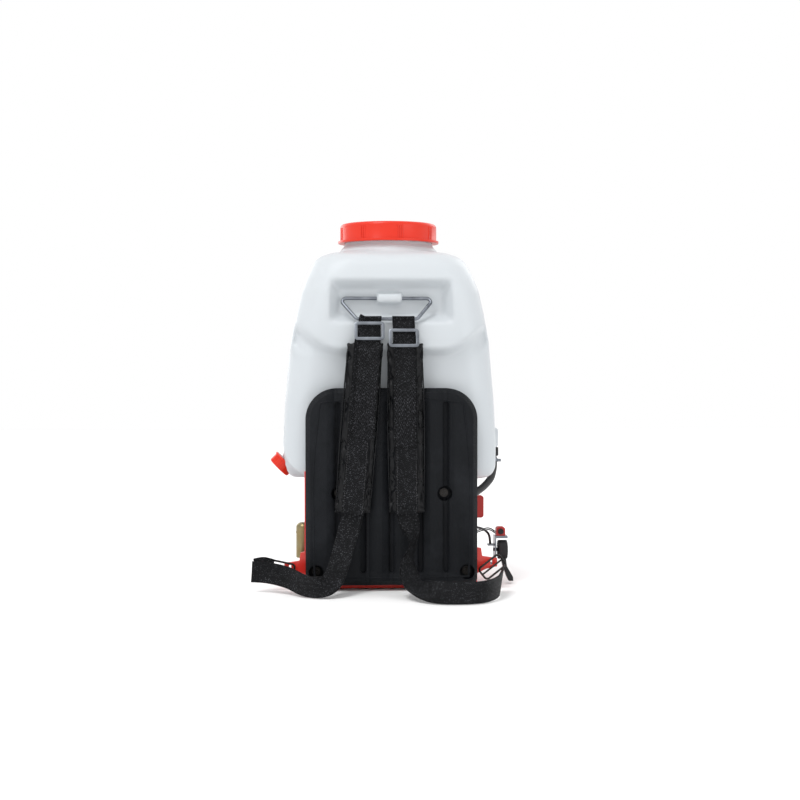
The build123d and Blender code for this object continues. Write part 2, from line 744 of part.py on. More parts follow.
def cylinder():
    """The finned cylinder with its closed head, bore, exhaust port and intake port."""
    low = DECK_Z
    shape = block((CYLINDER_X - 24, CYLINDER_X + 24), (CRANK_Y - 24, CRANK_Y + 24), (low, low + 5))
    shape += bar_z(23, CYLINDER_X, CRANK_Y, (low, 208))
    for index in range(9):
        z = low + 12 + index * 7.5
        width = 66 if index < 7 else 60 - 8 * (index - 7)
        fin = Pos(CYLINDER_X, CRANK_Y, z) * extrude(RectangleRounded(width, width, 9), 1.8)
        shape += fin
    shape += block((CYLINDER_X - 15, CYLINDER_X + 15), (CRANK_Y - 37, CRANK_Y), (146, 170))
    shape += block((CYLINDER_X - 17, CYLINDER_X + 17), (CRANK_Y, CRANK_Y + 37), (150, 176))
    shape -= bar_z(BORE_RADIUS, CYLINDER_X, CRANK_Y, (low - 1, 200))
    shape -= bar_y(7, CYLINDER_X, (CRANK_Y - 40, CRANK_Y), 158)
    shape -= bar_y(9, CYLINDER_X, (CRANK_Y, CRANK_Y + 40), 163)
    shape -= bar_z(5.2, CYLINDER_X, CRANK_Y, (195, 212))
    return shape


def piston():
    """The piston at the top of its stroke, with its ring grooves and gudgeon pin."""
    crown = 194.0
    shape = bar_z(BORE_RADIUS - 0.1, CYLINDER_X, CRANK_Y, (crown - 30, crown))
    shape -= bar_z(BORE_RADIUS - 3, CYLINDER_X, CRANK_Y, (crown - 31, crown - 5))
    for depth in (4.0, 8.0):
        groove = ring(BORE_RADIUS + 1, BORE_RADIUS - 1.4, (CYLINDER_X, CRANK_Y, crown - depth - 1.5),
                      (CYLINDER_X, CRANK_Y, crown - depth))
        shape -= groove
    pin = bar_x(4, (CYLINDER_X - 14, CYLINDER_X + 14), CRANK_Y, crown - 17)
    return shape + pin


def connecting_rod():
    """The connecting rod with the crank pin in its big end."""
    top = 177.0
    bottom = CRANK_Z + 14
    shape = bar_x(7, (CYLINDER_X - 4, CYLINDER_X + 4), CRANK_Y, top)
    shape += bar_x(10, (CYLINDER_X - 5, CYLINDER_X + 5), CRANK_Y, bottom)
    shape += block((CYLINDER_X - 3, CYLINDER_X + 3), (CRANK_Y - 4, CRANK_Y + 4), (bottom, top))
    return shape - bar_x(4.15, (CYLINDER_X - 6, CYLINDER_X + 6), CRANK_Y, top)


def crankshaft():
    """The crankshaft: two tapered ends and two counterweighted webs."""
    shape = bar_x(SHAFT_RADIUS, (-12, 27), CRANK_Y, CRANK_Z)
    shape += bar_x(SHAFT_RADIUS, (41, 104), CRANK_Y, CRANK_Z)
    for low in (20.0, 41.0):
        web = bar_x(28, (low, low + 7), CRANK_Y, CRANK_Z)
        web -= block((low - 1, low + 8), (CRANK_Y + 10, CRANK_Y + 40), (CRANK_Z, CRANK_Z + 40))
        web -= block((low - 1, low + 8), (CRANK_Y - 40, CRANK_Y - 10), (CRANK_Z, CRANK_Z + 40))
        shape += web
    return shape


def flywheel_fan():
    """The flywheel with its cooling fan blades, keyed on the crankshaft."""
    disc = bar_x(49.5, (72, 78), CRANK_Y, CRANK_Z)
    hub = bar_x(15, (71, 96), CRANK_Y, CRANK_Z)
    shape = disc + hub
    blade = block((78, 96), (30, 46), (-1.2, 1.2))
    count = 16
    for step in range(count):
        turned = Rot(step * 360 / count, 0, 0) * blade
        shape += Pos(0, CRANK_Y, CRANK_Z) * turned
    shape -= bar_x(SHAFT_RADIUS, (60, 110), CRANK_Y, CRANK_Z)
    return [shape, starter_cup()]


def starter_cup():
    """The slotted cup on the crankshaft's end that the starter's pawls catch."""
    shape = ring(24, 21, (97, CRANK_Y, CRANK_Z), (108, CRANK_Y, CRANK_Z))
    shape += ring(24, SHAFT_RADIUS, (96.2, CRANK_Y, CRANK_Z), (99, CRANK_Y, CRANK_Z))
    for step in range(3):
        slot = Rot(step * 60, 0, 0) * block((102, 109), (-30, 30), (-4, 4))
        shape -= Pos(0, CRANK_Y, CRANK_Z) * slot
    return shape


def fan_housing():
    """The fan's round housing on the crankcase, open at the front and into the cylinder's duct."""
    shape = ring(68, 65, (FAN_BACK, CRANK_Y, CRANK_Z), (FAN_FRONT, CRANK_Y, CRANK_Z))
    shape += ring(68, 20, (FAN_BACK, CRANK_Y, CRANK_Z), (FAN_BACK + 2.5, CRANK_Y, CRANK_Z))
    duct = block((FAN_BACK, 96), (CRANK_Y - 30, CRANK_Y + 30), (CRANK_Z + 56, 186))
    duct -= block((FAN_BACK - 1, 93), (CRANK_Y - 27, CRANK_Y + 27), (CRANK_Z + 50, 183))
    shape += duct - bar_x(64, (FAN_BACK, 100), CRANK_Y, CRANK_Z)
    shape -= block((FAN_BACK + 2.6, 93), (CRANK_Y - 27, CRANK_Y + 27), (CRANK_Z + 50, CRANK_Z + 72))
    return shape - bar(3.4, beside_crank(84, 60, COIL_ANGLE), beside_crank(84, 72, COIL_ANGLE))


def ignition_coil():
    """The ignition coil beside the flywheel, with its laminated legs."""
    body = Pos(84, 0, 0) * Box(18, 12, 22)
    legs = Pos(84, 5.5, 8) * Box(6, 4, 4) + Pos(84, 5.5, -8) * Box(6, 4, 4)
    shape = Pos(0, -56.2, 0) * (body - Pos(84, 0, 0) * Box(6.4, 13, 6)) + Pos(0, -55.0, 0) * legs
    turned = Rot(-COIL_ANGLE, 0, 0) * shape
    return Pos(0, CRANK_Y, CRANK_Z) * turned


def recoil_cover():
    """The recoil starter's cover with its air louvres and the rope's eyelet."""
    shape = bar_x(68, (FAN_FRONT + 0.1, COVER_FRONT), CRANK_Y, CRANK_Z)
    edge = shape.edges().filter_by(GeomType.CIRCLE).sort_by(Axis.X)[-1]
    shape = fillet(edge, 8)
    shape -= bar_x(64.5, (FAN_FRONT - 1, COVER_FRONT - 3), CRANK_Y, CRANK_Z)
    shape += bar_x(6, (FAN_FRONT + 4, COVER_FRONT - 2), CRANK_Y, CRANK_Z)
    count = 12
    for step in range(count):
        slot = Rot((step + 0.5) * 360 / count, 0, 0) * block((130, 150), (40, 58), (-3.5, 3.5))
        shape -= Pos(0, CRANK_Y, CRANK_Z) * slot
    y, z = EYELET
    shape += ring(11, 2.6, (COVER_FRONT - 6, y, z), (COVER_FRONT + 4, y, z))
    return shape - bar_x(2.6, (COVER_FRONT - 8, COVER_FRONT + 6), y, z)


def recoil_pulley():
    """The rope pulley inside the recoil cover, with its rope groove."""
    shape = bar_x(32, (121, 131), CRANK_Y, CRANK_Z)
    shape -= ring(33, 25.5, (124, CRANK_Y, CRANK_Z), (128, CRANK_Y, CRANK_Z))
    shape += ring(14, 6.05, (115, CRANK_Y, CRANK_Z), (133, CRANK_Y, CRANK_Z))
    shape -= bar_x(6.05, (110, 140), CRANK_Y, CRANK_Z)
    return shape


def starter_handle():
    """The pull handle outside the eyelet, with the end of its rope."""
    y, z = EYELET
    grip = block((HANDLE_X, HANDLE_X + 17), (y - 8, y + 8), (z - 20, z + 20))
    grip = fillet(grip.edges().filter_by(Axis.Y), 5)
    neck = cone(6, 8, (HANDLE_X - 8, y, z), (HANDLE_X + 2, y, z))
    return grip + neck + bar_x(2.0, (134, HANDLE_X), y, z)


def spark_plug():
    """The spark plug in the head, under its rubber cap."""
    shape = bar_z(5, CYLINDER_X, CRANK_Y, (199, 209))
    shape += Pos(CYLINDER_X, CRANK_Y, 208) * extrude(RegularPolygon(9, 6), 6)
    shape += bar_z(5, CYLINDER_X, CRANK_Y, (214, 226))
    return shape


COIL_ANGLE = 40.0


def beside_crank(x, radius, angle):
    """A point at a radius from the crank axis, the angle measured from -Y towards +Z."""
    y = CRANK_Y - radius * cos(radians(angle))
    z = CRANK_Z + radius * sin(radians(angle))
    return (x, y, z)


LEAD_ROUTE = [
    beside_crank(84, 62.4, COIL_ANGLE),
    beside_crank(84, 82, COIL_ANGLE),
    (80, -40, 172),
    (69, -30, 200),
    (58, -8, 224),
    (50, 14, 233),
    (40, 25, 234),
]


def ignition_lead():
    """The ignition lead from the coil to the plug, with the rubber plug cap on its end."""
    cap = bar_z(9, CYLINDER_X, CRANK_Y, (216, 240)) - bar_z(5.1, CYLINDER_X, CRANK_Y, (215, 227))
    return cap + tube(LEAD_ROUTE, 2.6)


def carburettor():
    """The carburettor on its insulator block, with its mixing body, bowl and throttle arm."""
    shape = block((20, 48), (-20, -12.2), (144, 172))
    shape += block((22, 46), (-52, -20), (143, 172))
    shape += bar_z(10, 34, -36, (138, 144))
    shape += block((46, 52), (-46, -28), (150, 168))
    shape -= bar_y(6.5, 34, (-53, -10), 158)
    return shape


def air_filter_box():
    """The air cleaner: its case on the carburettor and the ribbed cover over the foam."""
    shape = block((6, 64), (-94, -52.2), (132, 184))
    shape = fillet(shape.edges().filter_by(Axis.Y), 7)
    shape -= block((9, 61), (-91, -56), (135, 181))
    shape -= bar_y(6.5, 34, (-60, -50), 158)
    for index in range(5):
        z = 142 + index * 8
        shape -= block((0, 12), (-84, -64), (z, z + 3.5))
    return shape


def muffler():
    """The muffler on the exhaust port, with its outlet and the slotted guard's standoffs."""
    shape = block((2, 68), (CRANK_Y + 37.2, CRANK_Y + 78), (138, 184))
    shape = fillet(shape.edges().filter_by(Axis.X), 9)
    shape -= block((4, 66), (CRANK_Y + 39.5, CRANK_Y + 76), (140, 182))
    shape += bar(6, (8, CRANK_Y + 66, 150), (-8, CRANK_Y + 70, 146))
    shape -= bar(4.5, (8, CRANK_Y + 66, 150), (-9, CRANK_Y + 70.25, 145.75))
    shape -= bar_y(8, CYLINDER_X, (CRANK_Y + 36, CRANK_Y + 42), 163)
    return shape


# ---- drive and pump -----------------------------------------------------------------------------

PINION_RADIUS = GEAR_MODULE * PINION_TEETH / 2
GEAR_RADIUS = GEAR_MODULE * GEAR_TEETH / 2
PUMP_Z = CRANK_Z - PINION_RADIUS - GEAR_RADIUS


def gear_outline(teeth, first):
    """A spur gear's face with straight-sided teeth; first is the angle of one tooth's middle."""
    pitch = GEAR_MODULE * teeth / 2
    tip = pitch + 0.8 * GEAR_MODULE
    root = pitch - 1.15 * GEAR_MODULE
    step = 360 / teeth
    points = []
    for index in range(teeth):
        middle = first + index * step
        for radius, share in ((root, -0.34), (tip, -0.13), (tip, 0.13), (root, 0.34)):
            angle = radians(middle + share * step)
            points.append((radius * cos(angle), radius * sin(angle)))
    return make_face(Polyline(*points, close=True))


def gear(teeth, first, x, y, z):
    """A spur gear about an X axis; angles run from +Y towards +Z."""
    plane = Plane(origin=(x[0], y, z), x_dir=(0, 1, 0), z_dir=(1, 0, 0))
    return extrude(plane * gear_outline(teeth, first), x[1] - x[0])


def clutch_shoes():
    """The centrifugal clutch's hub and two shoes on the crankshaft."""
    shape = ring(37, SHAFT_RADIUS, (-12, CRANK_Y, CRANK_Z), (-2, CRANK_Y, CRANK_Z))
    for side in (-1, 1):
        gap = Pos(0, CRANK_Y, CRANK_Z) * block((-13, 0), sorted((side * 18, side * 40)), (-2, 2))
        window = bar_x(5, (-13, 0), CRANK_Y, CRANK_Z + side * 22)
        shape -= gap
        shape -= window
    return shape


def clutch_drum():
    """The clutch drum with the pinion on its shaft."""
    shape = ring(42, 39, (-17, CRANK_Y, CRANK_Z), (-1, CRANK_Y, CRANK_Z))
    shape += bar_x(42, (-19, -15), CRANK_Y, CRANK_Z)
    shape += bar_x(6, (-45, -18), CRANK_Y, CRANK_Z)
    shape += gear(PINION_TEETH, -90, (-36, -26), CRANK_Y, CRANK_Z)
    return shape


def gearcase():
    """The gearcase between clutch and pump: a closed box with the two shaft bores."""
    shape = block((-48, -21), (CRANK_Y - 40, CRANK_Y + 40), (16, 116))
    shape = fillet(shape.edges().filter_by(Axis.X), 12)
    shape -= block((-44, -24), (CRANK_Y - 36, CRANK_Y + 36), (18, 112))
    shape -= bar_x(6.05, (-47, -10), CRANK_Y, CRANK_Z)
    shape -= bar_x(7.05, (-60, -24), CRANK_Y, PUMP_Z)
    for y in (CRANK_Y - 30, CRANK_Y + 30):
        shape += block((-48, -21), (y - 8, y + 8), (TRAY_FLOOR, 18))
    return shape


def pump_gear():
    """The driven gear with the pump's eccentric shaft."""
    half_tooth = HALF_TURN / GEAR_TEETH
    shape = gear(GEAR_TEETH, 90 + half_tooth, (-36, -26), CRANK_Y, PUMP_Z)
    shape += bar_x(7, (-112, -24.5), CRANK_Y, PUMP_Z)
    shape += bar_x(12, (PUMP_X - 9, PUMP_X + 9), CRANK_Y, PUMP_Z + 4)
    return shape


def pump_body():
    """The pump's cast body: a crank chamber, two plunger bores and a foot."""
    shape = block((-114, -48.2), (CRANK_Y - 42, CRANK_Y + 42), (24, 84))
    shape = fillet(shape.edges().filter_by(Axis.X), 10)
    shape += block((-108, -54), (CRANK_Y - 36, CRANK_Y + 36), (TRAY_FLOOR, 30))
    shape -= bar_x(20, (PUMP_X - 14, PUMP_X + 14), CRANK_Y, PUMP_Z)
    shape -= bar_x(7.05, (-115, -40), CRANK_Y, PUMP_Z)
    shape -= bar_y(9.05, PUMP_X, (CRANK_Y - 50, CRANK_Y + 50), PUMP_Z)
    return shape


def plungers():
    """The two opposed plungers, with clearance to the eccentric."""
    pair = []
    for side in (-1, 1):
        near = CRANK_Y + side * 16.6
        far = CRANK_Y + side * 48
        pair.append(bar_y(9, PUMP_X, sorted((near, far)), PUMP_Z))
    return pair


def pump_heads():
    """The two valve heads on the ends of the pump, with their hexagon valve plugs."""
    heads = []
    for side in (-1, 1):
        near = CRANK_Y + side * 42.2
        far = CRANK_Y + side * 66
        head = block((PUMP_X - 20, PUMP_X + 20), sorted((near, far)), (32, 78))
        head = fillet(head.edges().filter_by(Axis.Y), 8)
        head -= bar_y(9.3, PUMP_X, sorted((near - side, near + side * 10)), PUMP_Z)
        middle = (near + far) / 2
        for x in (PUMP_X - 11, PUMP_X + 11):
            head += Pos(x, middle, 77) * extrude(RegularPolygon(6.5, 6), 6)
        heads.append(head)
    return heads


def discharge_manifold():
    """The brass manifold over the pump: regulator, two outlets and the air chamber's branch."""
    shape = block((-120, -52), (CRANK_Y - 14, CRANK_Y + 14), (84.2, 104))
    shape += bar_z(9, KNOB_X, CRANK_Y, (104, 112))
    shape += bar_y(8, -100, (CRANK_Y + 12, CRANK_Y + 70), 94)
    shape += bar_y(6.58, -100, (CRANK_Y + 70, CRANK_Y + 84), 94)
    shape -= bar_y(4, -100, (CRANK_Y + 10, CRANK_Y + 90), 94)
    shape += tube([(-116, CRANK_Y, 94), (-126, 22, 70), (-128, 6, 46), (-133, -14, 37.5),
                   (-149, CHAMBER_Y, 37.5)], 5)
    shape += bar_z(8, CHAMBER_X, CHAMBER_Y, (31, 44))
    shape += bar_y(5.5, -72, (CRANK_Y - 31.0, CRANK_Y - 12), 94)
    shape -= bar_y(3.1, -100, (CRANK_Y + 50, CRANK_Y + 51), 94)
    shape -= bar_z(3.05, -100, CRANK_Y + 50, (94, 104))
    return shape


def air_chamber():
    """The zinc-plated air chamber that smooths the pump's pulses: a can with a domed top."""
    body = bar_z(14, CHAMBER_X, CHAMBER_Y, (44.1, 107))
    top = body.edges().filter_by(GeomType.CIRCLE).sort_by(Axis.Z)[-1]
    body = fillet(top, 9)
    body += bar_z(14.8, CHAMBER_X, CHAMBER_Y, (88, 91))
    return body


def pressure_knob():
    """The regulator's knob, turned to set the pressure."""
    shape = bar_z(13, KNOB_X, CRANK_Y, (112.3, 122))
    for step in range(8):
        notch = Pos(KNOB_X, CRANK_Y, 0) * Rot(0, 0, step * 45) * bar_z(3, 14.5, 0, (110, 124))
        shape -= notch
    return shape


def cock_lever():
    """The outlet cock's lever, shown closed across the outlet."""
    y = CRANK_Y + 50
    shape = bar_z(3, -100, y, (96, 104.5)) + bar_z(7, -100, y, (102.4, 107))
    shape += block((-100, -68), (y - 4, y + 4), (103, 106))
    return shape


# ---- fuel tank ----------------------------------------------------------------------------------

def fuel_tank():
    """The fuel tank over the pump, with its slanted filler neck and a foot on the manifold side."""
    shape = block((-138, -32), (CRANK_Y - 60, CRANK_Y + 62), (128, 182))
    shape = fillet(shape.edges(), 10)
    neck_start = (-86, CRANK_Y + 50, 150)
    neck_end = (-86, CRANK_Y + 80, 162.7)
    shape += bar(15, neck_start, neck_end)
    inner = block((-136, -34), (CRANK_Y - 58, CRANK_Y + 60), (130, 180))
    inner = fillet(inner.edges(), 8)
    shape -= inner
    shape -= bar(12.5, neck_start, (-86, CRANK_Y + 83, 164))
    for y in (CRANK_Y - 40, CRANK_Y + 30):
        shape += block((-50, -44), (y - 8, y + 8), (116.1, 129))
    return shape


def fuel_cap():
    """The fuel tank's screw cap."""
    start = Vector(-86, CRANK_Y + 72.5, 159.5)
    along = Vector(0, 26, 11).normalized()
    place = Plane(origin=start, z_dir=along).location
    body = Cylinder(20, 16, align=(Align.CENTER, Align.CENTER, Align.MIN))
    body = fillet(body.edges().sort_by(Axis.Z)[-1], 2.5)
    body -= Pos(0, 0, -1) * Cylinder(15.4, 11.5, align=(Align.CENTER, Align.CENTER, Align.MIN))
    for step in range(20):
        body -= Rot(0, 0, step * 18) * block((19.2, 22), (-0.9, 0.9), (2, 13))
    return place * body


# ---- suction side hoses -------------------------------------------------------------------------

SUCTION_ROUTE = [
    (SUCTION_X, SUCTION_Y, 222),
    (SUCTION_X, SUCTION_Y - 3, 204),
    (185, -27, 185),
    (168, -48, 170),
    (144, -70, 158),
    (112, -86, 142),
    (74, -94, 122),
    (34, -96, 108),
    (-6, -92, 98),
    (-42, -78, 86),
    (-64, -62, 70),
    (-76, -50, 58),
]

RETURN_ROUTE = [
    (-72, CRANK_Y - 32, 94),
    (-74, -22, 96),
    (-84, -46, 106),
    (-98, -66, 124),
    (-112, -76, 148),
    (-119, -72, 171),
    (-119, -70, 187.3),
]


def suction_hose():
    """The black suction hose from the tank down and across to the pump's inlet."""
    return tube(SUCTION_ROUTE, 6.5)


def return_hose():
    """The clear return hose from the regulator up to the tank's floor."""
    return tube(RETURN_ROUTE, 5)


def outlet_fitting():
    """The black fitting under the tank's suction boss, with its hose tail."""
    shape = bar_z(9, SUCTION_X, SUCTION_Y, (225, 239.9))
    shape += bar_z(6.2, SUCTION_X, SUCTION_Y, (223.2, 248))
    return shape - bar_z(4, SUCTION_X, SUCTION_Y, (215, 250))


def band_clamp(start, end, low, high):
    """A band clamp between two distances along a hose's straight run, with its screw block."""
    start = Vector(*start)
    along = (Vector(*end) - start).normalized()
    band = ring(8.0, 6.7, tuple(start + along * low), tuple(start + along * high))
    side = along.cross(Vector(0, 1, 0)).normalized()
    near = start + along * (low + high) / 2 + side * 7.4
    return band + bar(2.6, tuple(near), tuple(near + side * 6))


def hose_clamps():
    """Steel band clamps at both ends of the suction hose."""
    top = band_clamp(SUCTION_ROUTE[0], SUCTION_ROUTE[1], 2.5, 8.5)
    low = band_clamp(SUCTION_ROUTE[-1], SUCTION_ROUTE[-2], 3.5, 9.5)
    return [top, low]


# ---- write every sub-part -----------------------------------------------------------------------

def solids_of(pieces):
    """All solids of a shape or of a list of shapes."""
    if isinstance(pieces, (list, tuple)) or not hasattr(pieces, "solids"):
        return [solid for piece in pieces for solid in piece.solids()]
    return pieces.solids()


SUB_PARTS = (
    back_frame, base_tray, rubber_feet, tank_posts, back_pad, pad_screws, tank, filler_strainer,
    cap_gasket, tank_cap, drain_cap, strap_bail, shoulder_webbings, shoulder_buckles,
    left_shoulder_pad, right_shoulder_pad, left_lower_webbing, right_lower_webbing, ear_buckles,
    control_bracket, throttle_lever,
    stop_switch, stop_button, throttle_cable, switch_wires, crankcase, engine_mounts, hex_bolts,
    cylinder, piston, connecting_rod, crankshaft, flywheel_fan, fan_housing,
    ignition_coil, recoil_cover, recoil_pulley, starter_handle, spark_plug, ignition_lead,
    carburettor, air_filter_box, muffler, clutch_shoes, clutch_drum, gearcase, pump_gear, pump_body,
    plungers, pump_heads, discharge_manifold, air_chamber, pressure_knob, cock_lever, fuel_tank,
    fuel_cap, suction_hose, return_hose, outlet_fitting, hose_clamps,
)

for make in SUB_PARTS:
    save(solids_of(make()), make.__name__)

for name, route in (("throttle cable", THROTTLE_ROUTE), ("switch wires", WIRE_ROUTE),
                    ("ignition lead", LEAD_ROUTE), ("suction hose", SUCTION_ROUTE),
                    ("return hose", RETURN_ROUTE)):
    print(name, "arc radii", [round(radius, 1) for radius in corner_radii(route)])
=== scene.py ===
import json
from math import cos, pi, radians, sin

import bpy
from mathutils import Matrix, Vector, noise

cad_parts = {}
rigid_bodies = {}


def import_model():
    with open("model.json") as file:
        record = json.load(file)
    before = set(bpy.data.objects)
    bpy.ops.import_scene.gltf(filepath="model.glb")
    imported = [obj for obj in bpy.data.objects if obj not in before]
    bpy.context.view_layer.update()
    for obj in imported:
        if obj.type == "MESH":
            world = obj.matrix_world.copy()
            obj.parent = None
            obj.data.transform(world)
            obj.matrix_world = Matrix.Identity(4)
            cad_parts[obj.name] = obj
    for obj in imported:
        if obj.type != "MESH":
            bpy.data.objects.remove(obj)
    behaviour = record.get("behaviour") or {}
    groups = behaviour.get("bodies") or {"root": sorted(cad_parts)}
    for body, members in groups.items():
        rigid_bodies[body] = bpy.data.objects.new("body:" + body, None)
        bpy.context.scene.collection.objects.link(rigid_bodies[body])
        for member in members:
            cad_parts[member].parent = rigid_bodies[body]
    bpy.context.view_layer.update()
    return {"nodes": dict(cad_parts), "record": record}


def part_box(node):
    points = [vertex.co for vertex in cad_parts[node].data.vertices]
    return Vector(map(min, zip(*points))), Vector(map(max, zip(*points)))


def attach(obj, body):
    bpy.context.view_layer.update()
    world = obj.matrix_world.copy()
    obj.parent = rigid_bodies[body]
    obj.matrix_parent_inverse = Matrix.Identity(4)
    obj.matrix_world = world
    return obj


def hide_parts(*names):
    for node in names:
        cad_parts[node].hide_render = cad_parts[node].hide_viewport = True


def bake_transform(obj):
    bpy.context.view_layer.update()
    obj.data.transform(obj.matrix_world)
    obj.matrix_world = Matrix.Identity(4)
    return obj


# Knapsack power sprayer. Metres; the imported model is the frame, and each piece made here rides on one
# of its bodies. MM turns the workshop's millimetres into metres.

MM = 0.001
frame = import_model()
nodes = frame["nodes"]

# Places on the straps, the same as the straps' CAD solids
PAD_WIDTH = 64 * MM
PAD_THICK = 13.5 * MM
STRAP_LOW_Y = -157.25 * MM
STRAP_TOP_Y = -145.8 * MM
STRAP_TOP_Z = 427 * MM
STRAP_BEND_Z = 352 * MM
STRAP_LOW_Z = 134 * MM
LEFT_STRAP = (-45.5 * MM, -68 * MM)
RIGHT_STRAP = (22.5 * MM, 25 * MM)
WEBBING = 38 * MM
WEB_THICK = 1.6 * MM
BAIL_BAR = (-139 * MM, 468 * MM)

# Places on the tank and on the back pad, the same as in the CAD
NECK_Y = -15 * MM
NECK_OPEN = 74.5 * MM
NECK_RIM = 73 * MM
TANK_SIDE = -188 * MM
TANK_FOOT = 196 * MM
DRAIN_Y = -20 * MM
DRAIN_SEAT = (-183.5, -20, 218.5)
PAD_GROOVES = (-0.096, -0.042, -0.001, 0.050, 0.092)


# ---- shader expressions -------------------------------------------------------------------------

class Flow:
    """A value in a material's nodes. Arithmetic on it adds Math nodes."""

    def __init__(self, finish, socket):
        self.finish = finish
        self.socket = socket

    def __add__(self, other):
        return self.finish.math("ADD", self, other)

    def __sub__(self, other):
        return self.finish.math("SUBTRACT", self, other)

    def __rsub__(self, other):
        return self.finish.math("SUBTRACT", other, self)

    def __mul__(self, other):
        return self.finish.math("MULTIPLY", self, other)

    def __truediv__(self, other):
        return self.finish.math("DIVIDE", self, other)

    def __pow__(self, other):
        return self.finish.math("POWER", self, other)

    def __gt__(self, other):
        return self.finish.math("GREATER_THAN", self, other)

    def __lt__(self, other):
        return self.finish.math("LESS_THAN", self, other)

    def __abs__(self):
        return self.finish.math("ABSOLUTE", self)

    __radd__ = __add__
    __rmul__ = __mul__


class Finish:
    """A procedural material being made round one Principled shader."""

    def __init__(self, name, **fixed):
        self.material = bpy.data.materials.new(name)
        self.material.use_nodes = True
        self.tree = self.material.node_tree
        self.shader = self.tree.nodes["Principled BSDF"]
        for key, value in fixed.items():
            self.shader.inputs[key.replace("_", " ")].default_value = value
        self.place = self.node("ShaderNodeTexCoord", out="Object")

    def node(self, kind, settings=None, sockets=None, out=0):
        """Add one node: its settings first, then the values or links of its sockets."""
        node = self.tree.nodes.new(kind)
        for key, value in (settings or {}).items():
            setattr(node, key, value)
        for key, value in (sockets or {}).items():
            self.join(value, node.inputs[key])
        return Flow(self, node.outputs[out])

    def join(self, value, socket):
        if isinstance(value, Flow):
            self.tree.links.new(value.socket, socket)
        else:
            socket.default_value = value

    def math(self, operation, first, second=0.0):
        return self.node("ShaderNodeMath", {"operation": operation}, {0: first, 1: second})

    def parts(self, vector):
        """A vector's three numbers."""
        split = self.node("ShaderNodeSeparateXYZ", None, {0: vector})
        return [Flow(self, split.socket.node.outputs[index]) for index in range(3)]

    def stretched(self, vector, scale):
        """A vector scaled by three numbers, so that a pattern runs longer one way."""
        return self.node("ShaderNodeVectorMath", {"operation": "MULTIPLY"}, {0: vector, 1: scale})

    def noise(self, scale, detail=3.0, roughness=0.5, where=None):
        return self.node("ShaderNodeTexNoise", None, {
            "Vector": where or self.place, "Scale": scale, "Detail": detail, "Roughness": roughness})

    def cells(self, scale, feature="F1", where=None):
        return self.node("ShaderNodeTexVoronoi", {"feature": feature}, {
            "Vector": where or self.place, "Scale": scale})

    def step(self, value, low, high, start=0.0, end=1.0):
        """The value's run from low to high, turned into start to end."""
        return self.node("ShaderNodeMapRange", None, {
            "Value": value, "From Min": low, "From Max": high, "To Min": start, "To Max": end})

    def blend(self, mask, first, second):
        """The first colour where the mask is 0, and the second where it is 1."""
        return self.node("ShaderNodeMix", {"data_type": "RGBA"}, {0: mask, 6: first, 7: second}, out=2)

    def bump(self, height, distance, strength=1.0, over=None):
        sockets = {"Height": height, "Distance": distance, "Strength": strength}
        if over:
            sockets["Normal"] = over
        return self.node("ShaderNodeBump", None, sockets)

    def done(self, colour=None, roughness=None, normal=None, metallic=None):
        """Join what varies over the surface and hand back the material."""
        feeds = {"Base Color": colour, "Roughness": roughness, "Normal": normal, "Metallic": metallic}
        for key, value in feeds.items():
            if value is not None:
                self.join(value, self.shader.inputs[key])
        return self.material


def tint(red, green, blue):
    return (red, green, blue, 1.0)


# ---- finishes -----------------------------------------------------------------------------------

def frame_red():
    """Sprayed red enamel on folded sheet: a fine orange peel, patches of two reds and a few chips."""
    f = Finish("red_enamel", Coat_Weight=0.35, Coat_Roughness=0.12)
    patch = f.noise(9.0, 4.0)
    speck = f.noise(260.0, 5.0, 0.7)
    chips = (speck > 0.71) * (f.noise(24.0) > 0.54)
    paint = f.blend(patch, tint(0.62, 0.018, 0.012), tint(0.74, 0.032, 0.018))
    colour = f.blend(chips, paint, tint(0.16, 0.10, 0.09))
    peel = f.bump(f.noise(900.0, 2.0), 0.00012, 0.5)
    normal = f.bump(1 - chips, 0.0001, 0.5, peel)
    return f.done(colour, f.step(patch, 0.2, 0.8, 0.26, 0.40), normal)


def red_plastic():
    """Moulded red plastic: deep colour, soft gloss, faint flow marks and small scratches."""
    f = Finish("red_plastic", Specular_IOR_Level=0.3)
    flow = f.noise(14.0, 3.0, where=f.stretched(f.place, (1, 1, 0.3)))
    fine = f.noise(420.0, 4.0, 0.6)
    scratch = f.noise(90.0, 2.0, where=f.stretched(f.place, (1, 1, 14))) > 0.68
    colour = f.blend(flow, tint(0.60, 0.022, 0.008), tint(0.70, 0.036, 0.014))
    normal = f.bump(fine, 0.0001, 0.35)
    return f.done(colour, f.step(fine, 0.3, 0.7, 0.27, 0.36) + scratch * 0.08, normal)


def engine_red():
    """The shroud's and starter's red, a little darker, with a fine moulded texture."""
    f = Finish("shroud_red")
    fine = f.cells(1400.0)
    broad = f.noise(20.0, 3.0)
    colour = f.blend(broad, tint(0.40, 0.012, 0.010), tint(0.52, 0.020, 0.014))
    return f.done(colour, f.step(broad, 0.3, 0.7, 0.34, 0.48), f.bump(fine, 0.0001, 0.5))


